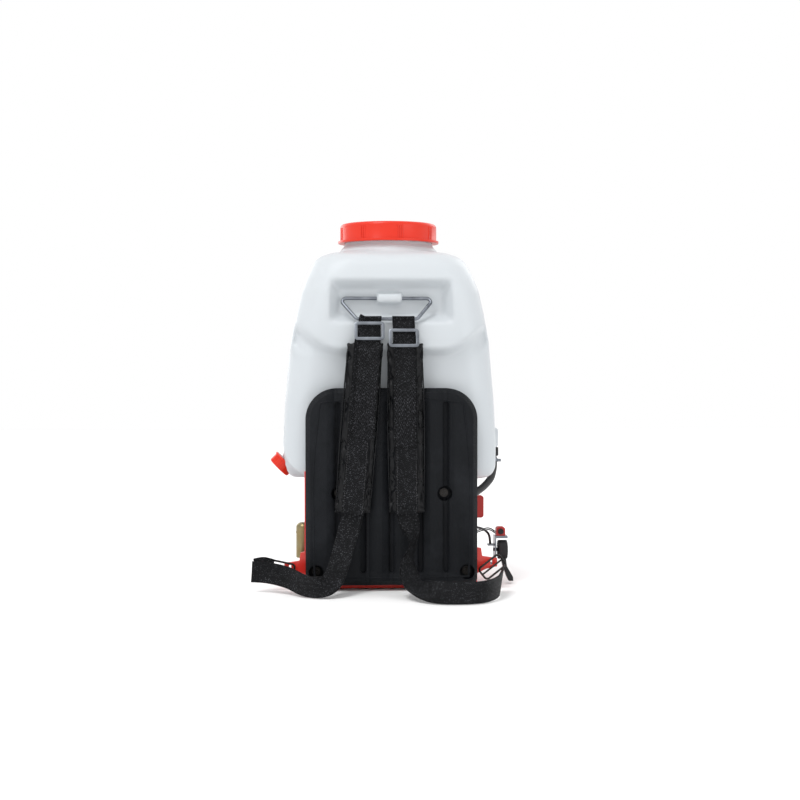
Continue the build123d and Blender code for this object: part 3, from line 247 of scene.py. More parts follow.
def grained_black():
    """The back pad's black plastic: a leather grain moulded in, shinier on the grain's tops."""
    f = Finish("grained_black_plastic", Specular_IOR_Level=0.15)
    warp = f.noise(220.0, 2.0)
    shifted = f.node("ShaderNodeVectorMath", {"operation": "ADD"}, {
        0: f.place, 1: f.stretched(f.node("ShaderNodeTexNoise", None, {
            "Vector": f.place, "Scale": 260.0}, out="Color"), (0.0022, 0.0022, 0.0022))})
    grain = f.step(f.cells(520.0, "DISTANCE_TO_EDGE", shifted), 0.0, 0.28)
    dust = f.step(f.noise(12.0, 6.0, 0.65), 0.48, 0.78)
    colour = f.blend(dust * 0.45, tint(0.0036, 0.0046, 0.0064), tint(0.022, 0.024, 0.029))
    rough = f.step(grain, 0.0, 1.0, 0.56, 0.36) + dust * 0.12
    across = f.parts(f.place)[0]
    ribs = 1.0
    for groove in PAD_GROOVES:
        ribs = f.step(abs(across - groove), 0.003, 0.016) ** 0.6 * ribs
    round_ribs = f.bump(ribs, 0.005, 0.9)
    normal = f.bump(grain + warp * 0.3, 0.00035, 0.75, round_ribs)
    return f.done(colour, rough, normal)


def black_plastic():
    """Plain black moulded plastic with a spark-eroded texture."""
    f = Finish("black_plastic", Specular_IOR_Level=0.2)
    fine = f.noise(1600.0, 3.0, 0.6)
    broad = f.noise(30.0, 3.0)
    colour = f.blend(broad, tint(0.011, 0.011, 0.012), tint(0.026, 0.026, 0.028))
    return f.done(colour, f.step(broad, 0.3, 0.7, 0.38, 0.52), f.bump(fine, 0.00012, 0.6))


def tank_white():
    """Milky blow-moulded polyethylene: light passes a little way in, and the wall is cloudy."""
    f = Finish("milky_polyethylene", Subsurface_Weight=0.15, Subsurface_Scale=0.006,
               Subsurface_Radius=(1.0, 1.0, 1.0), Specular_IOR_Level=0.35)
    height = f.parts(f.place)[2]
    cloud = f.noise(7.0, 4.0, 0.55, f.stretched(f.place, (1, 1, 0.45)))
    wall = f.blend(cloud, tint(0.490, 0.522, 0.548), tint(0.540, 0.570, 0.594))
    # the wall's colour gets lighter towards the top, from 0.20 m to 0.60 m high
    lighter_upwards = f.step(height, 0.20, 0.60, 0.0, 0.35)
    colour = f.blend(lighter_upwards, wall, tint(0.60, 0.628, 0.648))
    ripple = f.bump(f.noise(30.0, 2.0, where=f.stretched(f.place, (1, 1, 0.35))), 0.0006, 0.35)
    skin = f.bump(f.noise(700.0, 3.0, 0.55), 0.00012, 0.4, ripple)
    return f.done(colour, f.step(cloud, 0.3, 0.7, 0.34, 0.46), skin)


def black_rubber():
    """Matt black rubber, a little grey where it has been handled."""
    f = Finish("black_rubber", Specular_IOR_Level=0.3)
    wear = f.noise(45.0, 4.0, 0.6)
    colour = f.blend(wear, tint(0.010, 0.010, 0.010), tint(0.035, 0.034, 0.033))
    return f.done(colour, f.step(wear, 0.3, 0.7, 0.62, 0.82), f.bump(f.noise(900.0, 3.0), 0.0001, 0.6))


def strap_nylon():
    """Black coated nylon over the pads' foam: a fine plain weave, crinkled and slightly shiny."""
    f = Finish("black_nylon", Specular_IOR_Level=0.2)
    x, y, z = f.parts(f.place)
    pitch = 2 * pi / 0.0011
    weave = f.math("SINE", (x + y) * pitch) * f.math("SINE", z * pitch)
    crinkle = f.noise(30.0, 2.0, 0.5, f.stretched(f.place, (1.3, 1, 0.8)))
    crease = f.step(abs(crinkle - 0.5), 0.0, 0.05)
    broad = f.noise(16.0, 3.0)
    colour = f.blend(broad, tint(0.0022, 0.0024, 0.0030), tint(0.008, 0.0085, 0.0100))
    folds = f.bump(crease, 0.0016, 0.8)
    normal = f.bump(weave, 0.0001, 0.35, folds)
    return f.done(colour, f.step(crease, 0.0, 1.0, 0.22, 0.40), normal)


def webbing_black():
    """Woven polypropylene webbing: a herringbone of thick yarns between two plain edges. Its colour carries
    painted highlights: lighter on the yarns' raised tops and at scattered glints.
    """
    f = Finish("black_webbing", Specular_IOR_Level=0.08)
    across, along, _ = f.parts(f.node("ShaderNodeTexCoord", out="UV"))
    middle = WEBBING / 2
    lane = f.math("PINGPONG", across, 0.0048)
    yarn = f.math("SINE", (along + lane * 1.15) * (2 * pi / 0.0027))
    twist = f.math("SINE", across * (2 * pi / 0.0012))
    edge = abs(across - middle) > middle - 0.0022
    rib = f.math("SINE", along * (2 * pi / 0.0013))
    relief = yarn * (1 - edge) + rib * edge * 0.6 + twist * 0.18
    fuzz = f.noise(1500.0, 3.0, 0.6)
    # patches where the painted highlights below are stronger or weaker
    highlight_patches = f.noise(40.0, 4.0, 0.6)
    # painted glints: small bright dots scattered over the webbing
    glint = f.step(f.cells(330.0), 0.34, 0.10) * 0.9
    # painted highlight: the raised yarn tops and the glints made lighter in colour
    light = (f.step(relief + fuzz * 0.6, -0.2, 1.8) ** 3 + glint) * f.step(highlight_patches, 0.35, 0.75, 0.5, 1.0)
    # near-black webbing lightened towards the painted highlight's colour
    colour = f.blend(light, tint(0.0010, 0.0011, 0.0014), tint(0.095, 0.098, 0.108))
    normal = f.bump(relief + fuzz * 0.25, 0.00042, 0.8)
    return f.done(colour, f.step(relief, -1.0, 1.0, 0.62, 0.44), normal)


def thread_black():
    """The bonded sewing thread."""
    f = Finish("sewing_thread", Sheen_Weight=0.2)
    ply = f.noise(2600.0, 2.0)
    colour = f.blend(ply, tint(0.012, 0.012, 0.013), tint(0.055, 0.055, 0.060))
    return f.done(colour, f.step(ply, 0.3, 0.7, 0.45, 0.65), f.bump(ply, 0.0001, 0.7))


def metal(name, dark, light, smooth, rough, grain=900.0, depth=0.00004, stretch=(1, 1, 1)):
    """A metal with patches between two colours and a grain of scratches."""
    f = Finish(name, Metallic=1.0)
    patch = f.noise(35.0, 4.0, 0.6)
    fine = f.noise(grain, 4.0, 0.6, f.stretched(f.place, stretch))
    colour = f.blend(f.step(patch, 0.3, 0.7), dark, light)
    return f.done(colour, f.step(patch + fine * 0.5, 0.5, 1.1, smooth, rough), f.bump(fine, depth, 0.6))


def bright_steel():
    """Nickel-plated wire and screw heads."""
    return metal("plated_steel", tint(0.13, 0.14, 0.16), tint(0.25, 0.27, 0.30), 0.24, 0.40)


def zinc_yellow():
    """Yellow-passivated zinc: gold going to green and rose in patches."""
    f = Finish("yellow_zinc", Metallic=1.0)
    patch = f.noise(28.0, 4.0, 0.6)
    bloom = f.step(f.noise(60.0, 3.0), 0.45, 0.7)
    gold = f.blend(f.step(patch, 0.3, 0.7), tint(0.20, 0.14, 0.06), tint(0.30, 0.24, 0.13))
    colour = f.blend(bloom * 0.4, gold, tint(0.20, 0.21, 0.13))
    fine = f.noise(800.0, 3.0)
    return f.done(colour, f.step(patch, 0.2, 0.8, 0.24, 0.42), f.bump(fine, 0.00005, 0.6))


def cast_aluminium():
    """Sand-blasted die-cast aluminium, oily and darker in patches."""
    f = Finish("cast_aluminium", Metallic=0.9)
    pits = f.cells(900.0, "SMOOTH_F1")
    oil = f.step(f.noise(22.0, 5.0, 0.65), 0.42, 0.72)
    colour = f.blend(oil * 0.6, tint(0.50, 0.51, 0.52), tint(0.24, 0.23, 0.22))
    normal = f.bump(pits + f.noise(300.0, 4.0) * 0.6, 0.00018, 0.7)
    return f.done(colour, f.step(oil, 0.0, 1.0, 0.52, 0.36), normal)


def dark_steel():
    """Heat-darkened and blackened steel."""
    dark, light = tint(0.022, 0.021, 0.021), tint(0.060, 0.056, 0.052)
    return metal("dark_steel", dark, light, 0.34, 0.56, grain=500.0, depth=0.00006)


def black_hose():
    """Black hose cover with a faint cloth imprint along it."""
    f = Finish("hose_cover")
    imprint = f.cells(700.0, "DISTANCE_TO_EDGE", f.stretched(f.place, (1, 1, 0.5)))
    dust = f.step(f.noise(30.0, 4.0, 0.6), 0.5, 0.8)
    colour = f.blend(dust * 0.5, tint(0.009, 0.009, 0.010), tint(0.045, 0.045, 0.046))
    return f.done(colour, 0.36 + dust * 0.2, f.bump(imprint, 0.0002, 0.5))


def clear_hose():
    """Yellowed clear vinyl hose."""
    f = Finish("clear_vinyl", Subsurface_Weight=0.3, Subsurface_Scale=0.003, Coat_Weight=0.5)
    age = f.noise(26.0, 3.0)
    colour = f.blend(age, tint(0.62, 0.60, 0.50), tint(0.74, 0.73, 0.66))
    return f.done(colour, f.step(age, 0.3, 0.7, 0.16, 0.30), f.bump(f.noise(300.0), 0.00012, 0.4))


def brass():
    """Forged brass, dull in its hollows."""
    return metal("brass", tint(0.44, 0.30, 0.11), tint(0.66, 0.50, 0.22), 0.24, 0.42, 600.0, 0.00008)


def wire_black():
    """The wires' glossy insulation."""
    f = Finish("wire_insulation")
    wave = f.noise(120.0, 2.0)
    colour = f.blend(wave, tint(0.010, 0.010, 0.011), tint(0.030, 0.030, 0.032))
    return f.done(colour, f.step(wave, 0.3, 0.7, 0.22, 0.38), f.bump(wave, 0.0002, 0.3))


def filter_white():
    """Off-white polypropylene of the strainer."""
    f = Finish("strainer_plastic", Subsurface_Weight=0.2, Subsurface_Scale=0.004)
    cloud = f.noise(40.0, 3.0)
    colour = f.blend(cloud, tint(0.72, 0.73, 0.70), tint(0.82, 0.83, 0.81))
    return f.done(colour, f.step(cloud, 0.3, 0.7, 0.36, 0.5), f.bump(f.noise(900.0), 0.00008, 0.5))


FINISHES = {
    "frame_red": frame_red(),
    "pad_black": grained_black(),
    "tank_white": tank_white(),
    "cap_red": red_plastic(),
    "rubber_black": black_rubber(),
    "strap_pad": strap_nylon(),
    "webbing_black": webbing_black(),
    "bright_steel": bright_steel(),
    "zinc_yellow": zinc_yellow(),
    "cast_aluminium": cast_aluminium(),
    "dark_steel": dark_steel(),
    "engine_red": engine_red(),
    "plastic_black": black_plastic(),
    "hose_black": black_hose(),
    "hose_clear": clear_hose(),
    "brass_body": brass(),
    "wire_black": wire_black(),
    "filter_white": filter_white(),
}
THREAD = thread_black()


def slot_of(node):
    """The record's material slot of a CAD node."""
    for part in frame["record"]["subparts"]:
        if part["node"] == node:
            return part["material_slot"]
    raise KeyError(node)


def body_of(node):
    """The body that a CAD node rides on."""
    for body, members in frame["record"]["behaviour"]["bodies"].items():
        if node in members:
            return body
    raise KeyError(node)


def coat(piece, slot):
    """Give a piece one finish, by its slot in the record."""
    piece.data.materials.clear()
    piece.data.materials.append(FINISHES[slot])


for name, node in nodes.items():
    coat(node, slot_of(name))


# ---- making pieces ------------------------------------------------------------------------------

def deselect():
    for other in bpy.context.view_layer.objects:
        other.select_set(False)


def pick(piece):
    """Make one piece the only selected one, and the active one."""
    deselect()
    piece.select_set(True)
    bpy.context.view_layer.objects.active = piece


def start(add, name, **settings):
    """Add a primitive at its size and place, and name it."""
    deselect()
    add(**settings)
    piece = bpy.context.object
    piece.name = name
    bpy.ops.object.transform_apply(location=True, rotation=True, scale=True)
    return piece


def edit(piece, mode, chosen):
    """Enter edit mode with the vertices or faces chosen by a test selected, and nothing else."""
    pick(piece)
    bpy.ops.object.mode_set(mode="EDIT")
    bpy.ops.mesh.select_mode(type=mode)
    bpy.ops.mesh.select_all(action="DESELECT")
    bpy.ops.object.mode_set(mode="OBJECT")
    for item in piece.data.vertices if mode == "VERT" else piece.data.polygons:
        item.select = chosen(item)
    bpy.ops.object.mode_set(mode="EDIT")


def leave():
    bpy.ops.object.mode_set(mode="OBJECT")


def modify(piece, kind, **settings):
    """Add a modifier and apply it."""
    pick(piece)
    modifier = piece.modifiers.new(kind.title(), kind)
    for key, value in settings.items():
        setattr(modifier, key, value)
    bpy.ops.object.modifier_apply(modifier=modifier.name)


def smooth(piece, angle=30.0):
    pick(piece)
    bpy.ops.object.shade_smooth_by_angle(angle=radians(angle))


def finish(piece, slot, body):
    """Coat a piece and let it ride on its body."""
    coat(piece, slot)
    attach(piece, body)
    return piece


def merged_copy(node, name):
    """A copy of a CAD node's mesh with its loose triangles joined up."""
    piece = bpy.data.objects.new(name, nodes[node].data.copy())
    bpy.context.scene.collection.objects.link(piece)
    edit(piece, "VERT", lambda point: True)
    bpy.ops.mesh.customdata_custom_splitnormals_clear()
    bpy.ops.mesh.remove_doubles(threshold=0.00001)
    leave()
    return piece


def softened(node, width, angle=32.0, segments=2):
    """A CAD node's shape with its sharp edges rounded as moulding or tumbling leaves them."""
    piece = merged_copy(node, "soft_" + node)
    edit(piece, "VERT", lambda point: True)
    bpy.ops.mesh.dissolve_limited(angle_limit=radians(0.6))
    leave()
    modify(piece, "BEVEL", width=width, segments=segments, limit_method="ANGLE",
           angle_limit=radians(angle), use_clamp_overlap=True, miter_outer="MITER_ARC")
    smooth(piece, 40.0)
    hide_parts(node)
    return finish(piece, slot_of(node), body_of(node))


# How far the sharp edges of these pieces are rounded, in millimetres
SOFT = {
    "back_pad": 2.2,
    "tank_cap": 0.7,
    "base_tray": 1.0,
    "back_frame": 0.8,
    "tank_posts": 0.8,
    "throttle_lever": 0.7,
    "fan_housing": 0.9,
    "recoil_cover": 0.8,
    "fuel_tank": 1.2,
    "fuel_cap": 0.6,
    "air_filter_box": 0.9,
    "muffler": 1.0,
    "gearcase": 0.8,
    "pump_body": 0.8,
    "cylinder": 0.4,
}


# ---- tank ---------------------------------------------------------------------------------------

def hang_bulge(skin):
    """Turn the bulge's straight lower edge into one that rises round both ends."""
    for point in skin.data.vertices:
        x, y, z = point.co
        if y > -95 * MM or not 380 * MM < z < 475 * MM:
            continue
        was = max(0.0, min(1.0, (z - 404 * MM) / (24 * MM)))
        edge = 411 * MM + 44 * MM * max(0.0, (abs(x) - 88 * MM) / (76 * MM)) ** 1.7
        run = max(0.0, min(1.0, (z - edge + 9 * MM) / (18 * MM)))
        now = run * run * (3 - 2 * run)
        share = max(0.0, min(1.0, (-95 * MM - y) / (18 * MM)))
        point.co.y += (was - now) * 20 * MM * share


def round_corner(skin):
    """Round the tank's lower corner before and behind the drain cap's seat."""
    reach = 56 * MM
    heart = Vector((TANK_SIDE + reach, TANK_FOOT + reach))
    for point in skin.data.vertices:
        x, y, z = point.co
        spoke = Vector((x, z)) - heart
        if spoke.x > 0 or spoke.y > 0 or spoke.length < reach:
            continue
        share = max(0.0, min(1.0, (abs(y - DRAIN_Y) - 25 * MM) / (9 * MM)))
        spoke *= 1 - share * (1 - reach / spoke.length)
        point.co.x = heart.x + spoke.x
        point.co.z = heart.y + spoke.y


def tank_skin():
    """The blow-moulded tank: one soft skin with rounded edges, open at the neck, with a wall."""
    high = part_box("tank")[1]
    skin = merged_copy("tank", "tank_skin")
    edit(skin, "FACE", lambda face: face.center.z > high.z - 0.0004)
    bpy.ops.mesh.delete(type="FACE")
    leave()

    seat = Vector(DRAIN_SEAT) * MM
    away = Vector((-1, 0, -1)).normalized()

    def bore(face):
        rise = (face.center - seat).dot(away)
        spread = ((face.center - seat) - away * rise).length
        tap = Vector((face.center.x - 190.5 * MM, face.center.y + 12 * MM)).length
        drain = spread < 0.0104 and -0.02 < rise < 0.02
        return drain or (tap < 0.0067 and 0.236 < face.center.z < 0.252)

    edit(skin, "FACE", bore)
    bpy.ops.mesh.delete(type="FACE")
    leave()
    outermost = max(skin.data.vertices, key=lambda point: point.co.x).index
    edit(skin, "VERT", lambda point: point.index == outermost)
    bpy.ops.mesh.select_linked()
    bpy.ops.mesh.select_all(action="INVERT")
    bpy.ops.mesh.delete(type="VERT")
    bpy.ops.mesh.select_all(action="SELECT")
    bpy.ops.mesh.fill_holes(sides=0)
    bpy.ops.mesh.normals_make_consistent(inside=False)
    leave()
    modify(skin, "REMESH", mode="VOXEL", voxel_size=3.8 * MM, use_smooth_shade=True)
    hang_bulge(skin)
    round_corner(skin)
    modify(skin, "SMOOTH", factor=0.5, iterations=9)
    edit(skin, "FACE", lambda face: face.center.z > high.z - 0.0035
         and Vector((face.center.x, face.center.y - NECK_Y)).length < NECK_OPEN)
    bpy.ops.mesh.delete(type="FACE")
    bpy.ops.mesh.select_mode(type="VERT")
    bpy.ops.mesh.select_all(action="DESELECT")
    bpy.ops.mesh.select_non_manifold()
    leave()
    for point in skin.data.vertices:
        if point.select and point.co.z > high.z - 20 * MM:
            spoke = Vector((point.co.x, point.co.y - NECK_Y)).normalized() * NECK_RIM
            point.co = Vector((spoke.x, spoke.y + NECK_Y, high.z - 0.8 * MM))
    modify(skin, "SOLIDIFY", thickness=2.6 * MM, offset=-1.0)
    smooth(skin, 60.0)
    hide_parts("tank")
    return finish(skin, "tank_white", "frame")


# ---- straps -------------------------------------------------------------------------------------

def strap_place(strap, z):
    """The x and y of a padded strap's middle at a height."""
    top, low = strap
    share = (STRAP_TOP_Z - z) / (STRAP_TOP_Z - STRAP_LOW_Z)
    lean = max(0.0, z - STRAP_BEND_Z) / (STRAP_TOP_Z - STRAP_BEND_Z)
    return top + (low - top) * share, STRAP_LOW_Y + (STRAP_TOP_Y - STRAP_LOW_Y) * lean


def lay_on(piece, strap):
    """Move a flat piece, made round the strap's middle, onto the strap."""
    for point in piece.data.vertices:
        x, y = strap_place(strap, point.co.z)
        point.co.x += x
        point.co.y += y
    piece.data.update()


def puff(piece, limit, sewn):
    """Swell a closed form with air and slack cloth, held where it is sewn."""
    modify(piece, "REMESH", mode="VOXEL", voxel_size=4 * MM)
    group = piece.vertex_groups.new(name="sewn")
    group.add([point.index for point in piece.data.vertices if sewn(point.co)], 1.0, "REPLACE")
    rest = [point.co.copy() for point in piece.data.vertices]
    pick(piece)
    cloth = piece.modifiers.new("Cloth", "CLOTH")
    settings = cloth.settings
    settings.quality = 6
    settings.mass = 0.25
    settings.bending_stiffness = 0.03
    settings.use_pressure = True
    settings.uniform_pressure_force = 4.0
    settings.shrink_min = -0.09
    settings.vertex_group_mass = "sewn"
    settings.effector_weights.gravity = 0.0
    scene = bpy.context.scene
    for step in range(1, 21):
        scene.frame_set(step)
    bpy.ops.object.modifier_apply(modifier="Cloth")
    scene.frame_set(1)
    for point, home in zip(piece.data.vertices, rest):
        move = point.co - home
        if move.length > limit:
            point.co = home + move * (limit / move.length)
    piece.vertex_groups.clear()


def shoulder_pad(name, node, strap):
    """One padded strap: foam in nylon, sewn flat down the middle and swelling at both sides."""
    length = STRAP_TOP_Z - STRAP_LOW_Z
    pad = start(bpy.ops.mesh.primitive_cube_add, name, size=1.0,
                location=(0, 0, (STRAP_TOP_Z + STRAP_LOW_Z) / 2),
                scale=(PAD_WIDTH - 3 * MM, PAD_THICK - 5 * MM, length - 3 * MM))
    modify(pad, "BEVEL", width=3.5 * MM, segments=2)

    def sewn(point):
        front = point.y < -0.5 * MM
        return front and abs(abs(point.x) - 17 * MM) < 2.2 * MM

    puff(pad, 4.5 * MM, sewn)
    modify(pad, "SUBSURF", levels=2, render_levels=2)
    rear = PAD_THICK / 2 - 0.4 * MM
    front = -PAD_THICK / 2 - 0.2 * MM
    widest = max(abs(point.co.x) for point in pad.data.vertices)
    for point in pad.data.vertices:
        point.co.x *= (PAD_WIDTH / 2 - 0.6 * MM) / widest
        loose = max(0.0, min(1.0, (abs(point.co.x) - 17 * MM) / (8 * MM)))
        ruck = abs(noise.noise(Vector((point.co.x * 30, strap[0] * 90, point.co.z * 34))))
        ruck += 0.3 * abs(noise.noise(Vector((point.co.x * 60, 3.0, point.co.z * 80))))
        point.co.y += min(1.0, ruck * 2.2) * 2.4 * MM * loose * (1 if point.co.y < 0 else 0)
        point.co.y = min(point.co.y, rear)
        if abs(point.co.x) < 19.5 * MM:
            point.co.y = max(point.co.y, front)
    lay_on(pad, strap)
    pick(pad)
    bpy.ops.object.shade_smooth()
    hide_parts(node)
    finish(pad, "strap_pad", "straps")
    return pad


def pad_piping(name, strap):
    """The bound edge round a padded strap."""
    half = PAD_WIDTH / 2 - 1.0 * MM
    low = STRAP_LOW_Z + 2 * MM
    high = STRAP_TOP_Z - 2 * MM
    bead = start(bpy.ops.mesh.primitive_torus_add, name, major_segments=160, minor_segments=8,
                 major_radius=10 * MM, minor_radius=1.3 * MM, rotation=(pi / 2, 0, 0))
    square_loop(bead, half, low, high, (7 * MM, 7 * MM), 10 * MM, 1.0 * MM)
    lay_on(bead, strap)
    pick(bead)
    bpy.ops.object.shade_smooth()
    return finish(bead, "strap_pad", "straps")


def square_loop(bead, half, low, high, corners, ring, lift):
    """Open a small upright ring's mesh out into a long loop with rounded corners, low to high."""
    for point in bead.data.vertices:
        turn = Vector((point.co.x, point.co.z))
        side = turn.normalized()
        spare = turn.length - ring  # how far the point stands out from the ring's centre line
        corner = corners[1] if side.y > 0 else corners[0]
        square = side / max(abs(side.x), abs(side.y))
        middle = (high + low) / 2
        point.co.x = square.x * (half - corner) + side.x * (corner + spare)
        point.co.z = middle + square.y * ((high - low) / 2 - corner) + side.y * (corner + spare)
        point.co.y += lift
    bead.data.update()


def pad_rim():
    """The raised bead moulded round the back pad's face."""
    low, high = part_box("back_pad")
    ring = 30 * MM
    bead = start(bpy.ops.mesh.primitive_torus_add, "pad_rim", major_segments=240, minor_segments=10,
                 major_radius=ring, minor_radius=2.3 * MM, rotation=(pi / 2, 0, 0))
    half = high.x - 13 * MM
    square_loop(bead, half, low.z + 13 * MM, high.z - 13 * MM, (8 * MM, 41 * MM), ring, low.y + 1.4 * MM)
    pick(bead)
    bpy.ops.object.shade_smooth()
    return finish(bead, "pad_black", "frame")


def buckle(name, place, lean):
    """A stamped strap adjuster: a flat rounded frame with eased edges."""
    frame_plate = start(bpy.ops.mesh.primitive_plane_add, name, size=1.0)
    for point in frame_plate.data.vertices:
        point.co = Vector((point.co.x * 52 * MM, 0, point.co.y * 33 * MM))
    edit(frame_plate, "VERT", lambda point: True)
    bpy.ops.mesh.bevel(offset=6 * MM, segments=5, affect="VERTICES")
    bpy.ops.mesh.select_all(action="SELECT")
    bpy.ops.mesh.inset(thickness=5.6 * MM)
    bpy.ops.mesh.delete(type="FACE")
    leave()
    modify(frame_plate, "SOLIDIFY", thickness=2.8 * MM, offset=0.0)
    modify(frame_plate, "BEVEL", width=0.8 * MM, segments=2, limit_method="ANGLE", angle_limit=radians(50))
    edit(frame_plate, "VERT", lambda point: True)
    bpy.ops.mesh.normals_make_consistent(inside=False)
    leave()
    turn = radians(-lean)
    for point in frame_plate.data.vertices:
        x, y, z = point.co
        leaned = Vector((x, y * cos(turn) - z * sin(turn), y * sin(turn) + z * cos(turn)))
        point.co = leaned + Vector(place) * MM
    smooth(frame_plate, 40.0)
    return finish(frame_plate, "bright_steel", "straps")


def stitches(name, strap, across, low, high, lift):
    """A row of stitches along a strap."""
    pitch = 4.4 * MM
    count = int((high - low) / pitch)
    row = start(bpy.ops.mesh.primitive_uv_sphere_add, name, segments=6, ring_count=4, radius=1.0,
                location=(across, -lift, low + pitch / 2), scale=(0.38 * MM, 0.32 * MM, 1.65 * MM))
    modify(row, "ARRAY", count=count, use_relative_offset=False, use_constant_offset=True,
           constant_offset_displace=(0, 0, pitch))
    lay_on(row, strap)
    pick(row)
    bpy.ops.object.shade_smooth()
    finish(row, "webbing_black", "straps")
    row.data.materials[0] = THREAD
    return row


def between(points, share):
    """A point at a share from 0 to 1 along a smooth line through points."""
    spans = len(points) - 1
    place = min(share * spans, spans - 1e-6)
    index = int(place)
    t = place - index
    before = points[max(index - 1, 0)]
    here = points[index]
    after = points[index + 1]
    beyond = points[min(index + 2, spans)]
    return 0.5 * (2 * here + (after - before) * t + (2 * before - 5 * here + 4 * after - beyond) * t ** 2
                  + (3 * here - before - 3 * after + beyond) * t ** 3)


def band(name, stations, width, thickness, rows=90, crown=0.4):
    """A flat woven band through stations, each a centre and the direction across, in millimetres."""
    centres = [Vector(centre) * MM for centre, _ in stations]
    sides = [Vector(side).normalized() for _, side in stations]
    ribbon = start(bpy.ops.mesh.primitive_grid_add, name, x_subdivisions=10, y_subdivisions=rows, size=1.0)
    length = sum((after - before).length for before, after in zip(centres, centres[1:]))
    uv = ribbon.data.uv_layers.active.data
    for corner in uv:
        corner.uv = (corner.uv[0] * width, corner.uv[1] * length)
    for point in ribbon.data.vertices:
        across, share = point.co.x, point.co.y + 0.5
        centre = between(centres, share)
        ahead = between(centres, min(share + 0.004, 1))
        behind = between(centres, max(share - 0.004, 0))
        along = (ahead - behind).normalized()
        side = between(sides, share)
        side = (side - along * side.dot(along)).normalized()
        face = along.cross(side)
        point.co = centre + side * across * width + face * crown * MM * (1 - (2 * across) ** 2)
    ribbon.data.update()
    modify(ribbon, "SOLIDIFY", thickness=thickness, offset=0.0)
    pick(ribbon)
    bpy.ops.object.shade_smooth()
    smooth(ribbon, 50.0)
    return ribbon


def webbing_loop(name, strap, x_top, tail_z, aside):
    """The webbing that goes round the bail's bar, through the adjuster and back down as a tail."""
    sewn = PAD_THICK / 2 + 1.3 * MM
    tail = sewn + 2.2 * MM
    gap = 4.3 * MM
    bar_y, bar_z = BAIL_BAR
    line = [(STRAP_TOP_Y - sewn, STRAP_TOP_Z - 8 * MM), (STRAP_TOP_Y - sewn, STRAP_TOP_Z + 2 * MM),
            (bar_y, 456 * MM), (bar_y + gap, 465 * MM)]
    for turn in range(15, 181, 33):
        line.append((bar_y + gap * cos(radians(turn)), bar_z + gap * sin(radians(turn))))
    line += [(bar_y - gap - 1 * MM, 461 * MM), (STRAP_TOP_Y - tail - 0.4 * MM, STRAP_TOP_Z + 3 * MM),
             (STRAP_LOW_Y - tail + 5 * MM, 388 * MM), (STRAP_LOW_Y - tail, STRAP_BEND_Z - 1 * MM),
             (STRAP_LOW_Y - tail, (STRAP_BEND_Z + tail_z) / 2), (STRAP_LOW_Y - tail, tail_z)]
    stations = []
    for y, z in line:
        share = max(0.0, min(1.0, (z - STRAP_TOP_Z) / (bar_z - STRAP_TOP_Z)))
        x = strap_place(strap, min(z, STRAP_TOP_Z))[0] * (1 - share) + x_top * share
        if y < STRAP_TOP_Y - sewn - 0.1 * MM:
            x += aside * (1 - share)
        stations.append((Vector((x, y, z)) / MM, (1, 0, 0)))
    loop = band(name, stations, WEBBING, WEB_THICK, rows=150, crown=-0.3)
    return finish(loop, "webbing_black", "straps")


def sewn_webbing(name, strap):
    """The webbing sewn down the front of a padded strap."""
    stations = []
    for z in (STRAP_LOW_Z + 1 * MM, 200 * MM, 270 * MM, 335 * MM, 360 * MM, 395 * MM, STRAP_TOP_Z - 1 * MM):
        x, y = strap_place(strap, z)
        stations.append((Vector((x, y - PAD_THICK / 2 - 1.3 * MM, z)) / MM, (-1, 0, 0)))
    strip = band(name, stations, WEBBING, WEB_THICK, rows=110, crown=0.3)
    return finish(strip, "webbing_black", "straps")


LEFT_LOWER = [
    ((-67, -165.6, 150), (-1, 0, 0)),
    ((-69, -163, 129), (-1, 0, -0.08)),
    ((-79, -169, 94), (-1, 0, -0.2)),
    ((-91, -188, 54), (-1, 0, -0.2)),
    ((-104, -214, 28), (-1, -0.1, 0.2)),
    ((-124, -226, 20), (-0.5, 0, 1)),
    ((-150, -207, 20.5), (0.1, 0, 1)),
    ((-178, -175, 29), (0.2, 0, 1)),
    ((-210, -153, 34), (0.3, 0, 1)),
    ((-240, -149, 36), (0.3, 0, 1)),
]
LEFT_END = [
    ((-236, -143, 47), (0.3, 0, 1)),
    ((-220, -139, 49), (0.2, 0, 1)),
    ((-204, -133, 44), (0, 0, 1)),
]
RIGHT_LOWER = [
    ((25, -165.6, 150), (1, 0, 0)),
    ((27, -163, 128), (1, 0, 0)),
    ((33, -167, 104), (1, 0.9, 0)),
    ((33, -174, 80), (0.35, 1, 0)),
    ((27, -188, 52), (0.7, 0.8, 0.1)),
    ((28, -212, 30), (1, 0.3, -0.1)),
    ((40, -252, 23), (0.9, 0.1, 0.5)),
    ((64, -290, 20), (0.3, 0, 1)),
    ((104, -300, 19.5), (0, 0, 1)),
    ((148, -284, 20), (0, 0, 1)),
    ((176, -232, 23), (0.1, 0.1, 1)),
    ((184, -165, 33), (0.5, 0.2, 1)),
]


def lower_webbing(name, stations):
    """A lower strap: it follows the padded strap at its top and the frame from the ear on."""
    strap = band(name, stations, 36 * MM, 2.0 * MM, rows=150, crown=1.0)
    coat(strap, "webbing_black")
    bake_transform(strap)
    return strap


